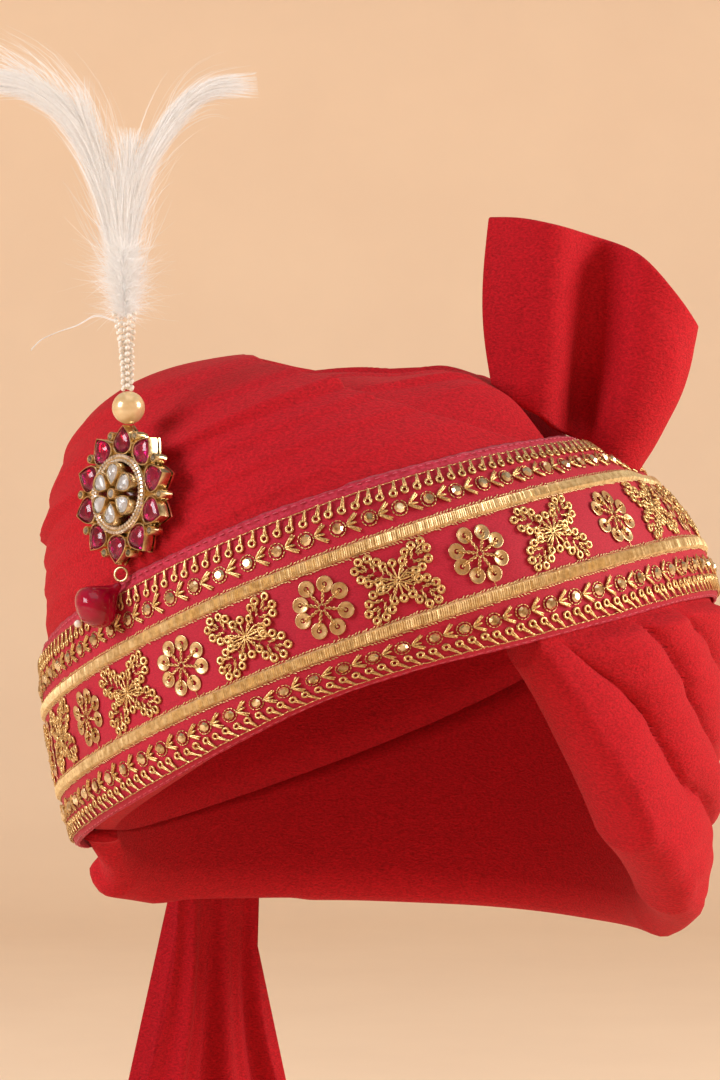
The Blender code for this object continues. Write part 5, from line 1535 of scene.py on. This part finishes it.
def strings():
    """Strings of seed beads over the pearl, fanning out towards the plume."""
    rng = np.random.default_rng(23)
    pearl = middle_of("pearl")
    foot = pearl + STALK * (PEARL_RADIUS + BUNDLE_GAP)
    side = unit(np.array([1.0, 0.0, STALK_LEAN]))
    deep = np.array([0.0, 1.0, 0.0])
    parts = []
    count = int(BUNDLE_LENGTH / SEED_PITCH)
    for s in range(STRINGS + 1):
        turn = 2 * math.pi * s / STRINGS + 0.5
        for k in range(count + (s % 3)):
            t = (k + 0.5 + 0.3 * math.sin(s * 2.1)) / count
            spread = 0.0 if s == STRINGS else 0.00145 + 0.0013 * t**2.0 + 0.0001 * math.sin(5 * t + s)
            way = side * math.cos(turn + 0.5 * t) + deep * math.sin(turn + 0.5 * t)
            at = foot + STALK * (t * BUNDLE_LENGTH) + way * spread + rng.normal(size=3) * 0.00008
            parts.append(ball(at, SEED_RADIUS * rng.uniform(0.9, 1.1), 10, 7, STALK))
    piece("seed_beads", *joined(parts), SEED, "cream_beads", ["bead_strands"])
    piece("champagne_ball", *ball(pearl, PEARL_RADIUS, 48, 28), PEARL, "champagne_pearl", ["pearl"])


def drop():
    """Jump ring, glass drop and end bead."""
    hang = middle_of("drop_ring")
    ring = small_ring(hang, KALGI.out + 0.5 * KALGI.right, RING_RADIUS, RING_WIRE, 32, 10)
    piece("jump_ring", *ring, ANTIQUE, "antique_gold", ["drop_ring"])
    tip = middle_of("drop_end_bead")
    glass = np.array([v.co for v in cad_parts["ruby_drop"].data.vertices])
    neck = glass[np.argmax(np.linalg.norm(glass - tip, axis=1))]
    knots = np.array(DROP_PROFILE)
    fine = np.linspace(0.0, 1.0, 61)
    arc = 0.5 - 0.5 * np.cos(math.pi * fine)
    reach = np.interp(arc, knots[:, 0], knots[:, 1])
    reach[2:-2] = (reach[:-4] + reach[1:-3] + reach[2:-2] + reach[3:-1] + reach[4:]) / 5
    profile = [(a * DROP_LENGTH, r * DROP_RADIUS) for a, r in zip(arc, reach)]
    piece("glass_drop", *lathe(neck, tip - neck, profile, 56), DROP_GLASS, "ruby_glass", ["ruby_drop"])
    piece("end_bead", *ball(tip, END_BEAD_RADIUS, 16, 10), SEED, "cream_beads", ["drop_end_bead"])


# Plume

PLUME_HEAD = 0.0120
PLUME_HEIGHT = 0.0617
SHAFT_POINTS = 240
BARB_STEPS = 8
DOWN_STEPS = 6
WISP_WIRE = 0.00016
RIGHT_FEATHER = ((0.00, 0.00), (0.045, 0.33), (0.11, 0.57), (0.26, 0.82), (0.43, 0.96), (0.67, 0.98))
LEFT_FEATHER = ((0.00, 0.00), (-0.09, 0.42), (-0.24, 0.77), (-0.44, 0.95), (-0.64, 1.00), (-0.84, 0.98))
MIDDLE_FEATHER = ((0.00, 0.00), (0.00, 0.25), (0.015, 0.45), (0.03, 0.60), (0.035, 0.70), (0.04, 0.77))
LOW_TUFT = ((0.00, -0.02), (-0.01, 0.15), (-0.02, 0.30), (-0.03, 0.45), (-0.03, 0.55))
UPPER_TUFT = ((0.00, 0.00), (-0.06, 0.35), (-0.13, 0.62), (-0.19, 0.80), (-0.23, 0.92), (-0.26, 1.00))
WISP = (
    (0.0, 0.0, 0.0),
    (-0.006, 0.001, 0.0016),
    (-0.012, 0.002, -0.0012),
    (-0.018, 0.002, -0.0032),
    (-0.023, 0.001, -0.0056),
    (-0.026, 0.0, -0.0086),
)


def curve_through(knots, count):
    """A smooth curve through knots, with tangents taken from their neighbours."""
    knots = np.asarray(knots, float)
    tangents = np.gradient(knots, axis=0)
    t = np.linspace(0, len(knots) - 1.000001, count)
    i = t.astype(int)
    s = (t - i)[:, None]
    leaving = knots[i] * (1 + 2 * s) + tangents[i] * s
    arriving = knots[i + 1] * (3 - 2 * s) + tangents[i + 1] * (s - 1)
    return leaving * (1 - s) ** 2 + arriving * s**2


def ribbons(spines, widths, faces_way):
    """Tapering flat hairs along many spines at once."""
    count, steps = spines.shape[:2]
    along = np.gradient(spines, axis=1)
    across = np.cross(along, faces_way[:, None, :])
    across = across / np.maximum(np.linalg.norm(across, axis=-1, keepdims=True), 1e-9)
    taper = np.linspace(1.0, 0.12, steps)[None, :, None] * widths[:, None, None] / 2
    points = np.stack([spines - across * taper, spines + across * taper], axis=2).reshape(-1, 3)
    starts = np.arange(count)[:, None] * steps * 2 + np.arange(steps - 1)[None, :] * 2
    faces = np.stack([starts, starts + 1, starts + 3, starts + 2], axis=-1).reshape(-1, 4)
    return points, faces.tolist()


def vane(rng, origin, knots, count, half, reach, loose, upper=0.0):
    """Barbs that leave a feather's shaft at a slant and sweep along it."""
    path = np.array([(s, 0.0, h) for s, h in knots]) * PLUME_HEIGHT
    shaft = curve_through(path, SHAFT_POINTS)
    stations = np.arange(SHAFT_POINTS)
    sideways = np.cross(unit(np.gradient(shaft, axis=0)), [0.0, -1.0, 0.0])
    span = reach * rng.uniform(0.5, 1.2, count)
    start = rng.uniform(-0.12, 1.0, count) * (1.0 - 0.9 * span)
    share = np.linspace(0, 1, BARB_STEPS)
    index = np.clip(start[:, None] + span[:, None] * share, 0.0, 1.0) * (SHAFT_POINTS - 1)
    spine = np.stack([np.interp(index, stations, shaft[:, c]) for c in range(3)], axis=-1)
    normal = np.stack([np.interp(index, stations, sideways[:, c]) for c in range(3)], axis=-1)
    lean = np.clip(rng.normal(size=count), -1.7, 1.7) * half
    stray = rng.uniform(size=count) < loose
    lean = np.where(stray, (lean + upper * half) * rng.uniform(1.5, 3.0, count), lean)
    spine = spine + normal * (lean[:, None] * (0.25 + 0.75 * share**0.8))[..., None]
    spine[..., 1] += rng.normal(size=count)[:, None] * half * 0.5 * share
    return ribbons(origin + spine, rng.uniform(0.00012, 0.00024, count), lit_ways(rng, count))


def lit_ways(rng, count):
    """Facings that turn flat barbs to one side light or the other, as round ones would be."""
    side = np.where(rng.uniform(size=count) < 0.5, -1.0, 1.0)
    return xyz(side * 0.35, -0.9, 0.15) + rng.normal(size=(count, 3)) * 0.3


def fluff(rng, origin, count, long):
    """Down that stands out all round the foot of the plume."""
    height = rng.uniform(-0.9, 0.75, count) * PLUME_HEAD
    turn = rng.uniform(0, 2 * math.pi, count)
    rise = rng.normal(0.45, 0.45, count)
    size = PLUME_HEAD * long * rng.uniform(0.45, 1.0, count) * (1.0 - 0.3 * np.abs(height / PLUME_HEAD))
    level = np.cos(rise)
    aim = xyz(np.cos(turn) * level, np.sin(turn) * level, np.sin(rise))
    share = np.linspace(0, 1, DOWN_STEPS)
    spine = origin + STALK * height[:, None]
    spine = spine[:, None, :] + aim[:, None, :] * (size[:, None] * share)[..., None]
    droop = rng.normal(size=(count, 3)) * 0.18
    spine = spine + droop[:, None, :] * (size[:, None] * share**2)[..., None]
    return ribbons(spine, rng.uniform(0.0001, 0.0002, count), lit_ways(rng, count))


def wisp(origin):
    """A loose doubled thread that trails to the left under the plume."""
    parts = []
    angle = turns(5)
    section = WISP_WIRE * xyz(0.0, np.cos(angle), np.sin(angle))
    for stretch, lift in (((1.0, 1.0, 1.0), 0.0), ((1.0, 1.3, 1.08), 0.0003)):
        strand = curve_through(np.array(WISP) * stretch + np.array([0.0, 0.0, lift]), 40)
        points = origin + (strand[:, None, :] + section).reshape(-1, 3)
        parts.append((points, grid(40, len(angle), False, wrapped=True)))
    return joined(parts)


def plume():
    """Two long feathers and shorter tufts rising from a head of down."""
    rng = np.random.default_rng(29)
    pearl = middle_of("pearl")
    foot = pearl + STALK * (PEARL_RADIUS + BUNDLE_GAP + BUNDLE_LENGTH)
    head = foot + STALK * (PLUME_HEAD + BUNDLE_GAP)
    right = [vane(rng, head, RIGHT_FEATHER, 2300, 0.0023, 0.30, 0.05)]
    left = [vane(rng, head, LEFT_FEATHER, 2700, 0.0026, 0.34, 0.14, 0.8)]
    tufts = [vane(rng, head, MIDDLE_FEATHER, 700, 0.0030, 0.50, 0.15)]
    tufts.append(vane(rng, head, UPPER_TUFT, 420, 0.0026, 0.50, 0.25))
    tufts.append(vane(rng, head, LOW_TUFT, 700, 0.0036, 0.60, 0.2))
    down = [fluff(rng, head, 4200, 0.85), fluff(rng, head, 520, 1.7)]
    down.append(wisp(foot + np.array([-0.003, 0.0, 0.0])))
    tops = {"right_feather": right, "left_feather": left, "short_feathers": tufts, "down": down}
    for name, parts in tops.items():
        piece(name, *joined(parts), FEATHER, "white_feather", ["plume"], outward=False)


def kalgi():
    """The whole jewel."""
    brooch_gold()
    brooch_floor()
    pave()
    brooch_stones()
    strings()
    drop()
    plume()


# Studio

FLOOR_Z = -0.42
FLOOR_INNER = 1.2
SWEEP_RADIUS = 3.4
SWEEP_CURVE = 0.9
SWEEP_HEIGHT = 3.2
SWEEP_SIDES = 96
CAMERA_AT = (-0.0066, -1.3, -0.0455)
CAMERA_LENS = 131.3
CAMERA_SENSOR = 36.0


def area_light(name, at, size, energy, colour, aim=(0.0, 0.0, -0.06)):
    """A soft square light that looks at the turban or another aim."""
    data = bpy.data.lights.new(name, "AREA")
    data.size = size
    data.energy = energy
    data.color = colour
    lamp = bpy.data.objects.new(name, data)
    lamp.location = at
    lamp.rotation_euler = look_along(np.array(aim) - np.array(at))
    lamp.visible_camera = False
    bpy.context.scene.collection.objects.link(lamp)


def look_along(direction):
    """Rotation of something that looks along its own -Z."""
    x, y, z = direction / np.linalg.norm(direction)
    return (math.acos(-z), 0.0, math.atan2(-x, y))


def paper_sweep():
    """A round pale floor that curves up into a wall."""
    rows = [(FLOOR_INNER, FLOOR_Z), (SWEEP_RADIUS - SWEEP_CURVE, FLOOR_Z)]
    for a in np.radians(np.linspace(10, 90, 9)):
        reach = SWEEP_RADIUS - SWEEP_CURVE * (1 - math.sin(a))
        rows.append((reach, FLOOR_Z + SWEEP_CURVE * (1 - math.cos(a))))
    rows.append((SWEEP_RADIUS, FLOOR_Z + SWEEP_HEIGHT))
    angle = turns(SWEEP_SIDES)
    rings = [xyz(r * np.sin(angle), -r * np.cos(angle), z) for r, z in rows]
    points = np.concatenate([[(0.0, 0.0, FLOOR_Z)], *rings])
    faces = [[0, 1 + i, 1 + (i + 1) % SWEEP_SIDES] for i in range(SWEEP_SIDES)]
    faces += grid(len(rows), SWEEP_SIDES, False, wrapped=True, start=1)
    mesh = bpy.data.meshes.new("studio_sweep")
    mesh.from_pydata(points.tolist(), [], faces)
    mesh.shade_smooth()
    pale = finish("pale_paper", (0.92, 0.72, 0.53), 0.9)
    noise = grain(pale, 6.0, 0.02, 0.001)
    tone(pale, noise, 0.2, 0.8, (0.90, 0.70, 0.515), (0.94, 0.74, 0.545))
    mesh.materials.append(pale)
    sweep = bpy.data.objects.new("studio_sweep", mesh)
    bpy.context.scene.collection.objects.link(sweep)


def studio():
    """Plain pale surroundings, soft lights, and the camera."""
    paper_sweep()
    world = bpy.data.worlds.new("studio_air")
    world.use_nodes = True
    air = world.node_tree.nodes["Background"]
    air.inputs["Color"].default_value = (1.0, 0.93, 0.86, 1.0)
    air.inputs["Strength"].default_value = 0.30
    bpy.context.scene.world = world
    area_light("left_light", (-1.45, -0.85, 0.55), 0.8, 22.0, (0.95, 0.97, 1.0))
    area_light("right_light", (1.60, -0.25, 0.45), 0.8, 26.0, (1.0, 0.95, 0.88))
    area_light("top_light", (0.1, -0.5, 1.5), 1.0, 3.0, (1.0, 0.98, 0.95))
    area_light("wall_light_left", (-1.3, 0.9, 0.4), 1.0, 10.5, (1.0, 1.0, 1.0), (-0.4, 3.4, 0.0))
    area_light("wall_light_right", (1.3, 0.9, 0.4), 1.0, 10.5, (1.0, 1.0, 1.0), (0.4, 3.4, 0.0))

    data = bpy.data.cameras.new("camera")
    data.lens = CAMERA_LENS
    data.sensor_fit = "VERTICAL"
    data.sensor_height = CAMERA_SENSOR
    camera = bpy.data.objects.new("camera", data)
    camera.location = CAMERA_AT
    camera.rotation_euler = (math.radians(90), 0.0, 0.0)
    bpy.context.scene.collection.objects.link(camera)
    bpy.context.scene.camera = camera
    bpy.context.scene.view_settings.view_transform = "Standard"


crown()
swathe()
nape()
tail()
turra()
border()
embroidery()
kalgi()
studio()
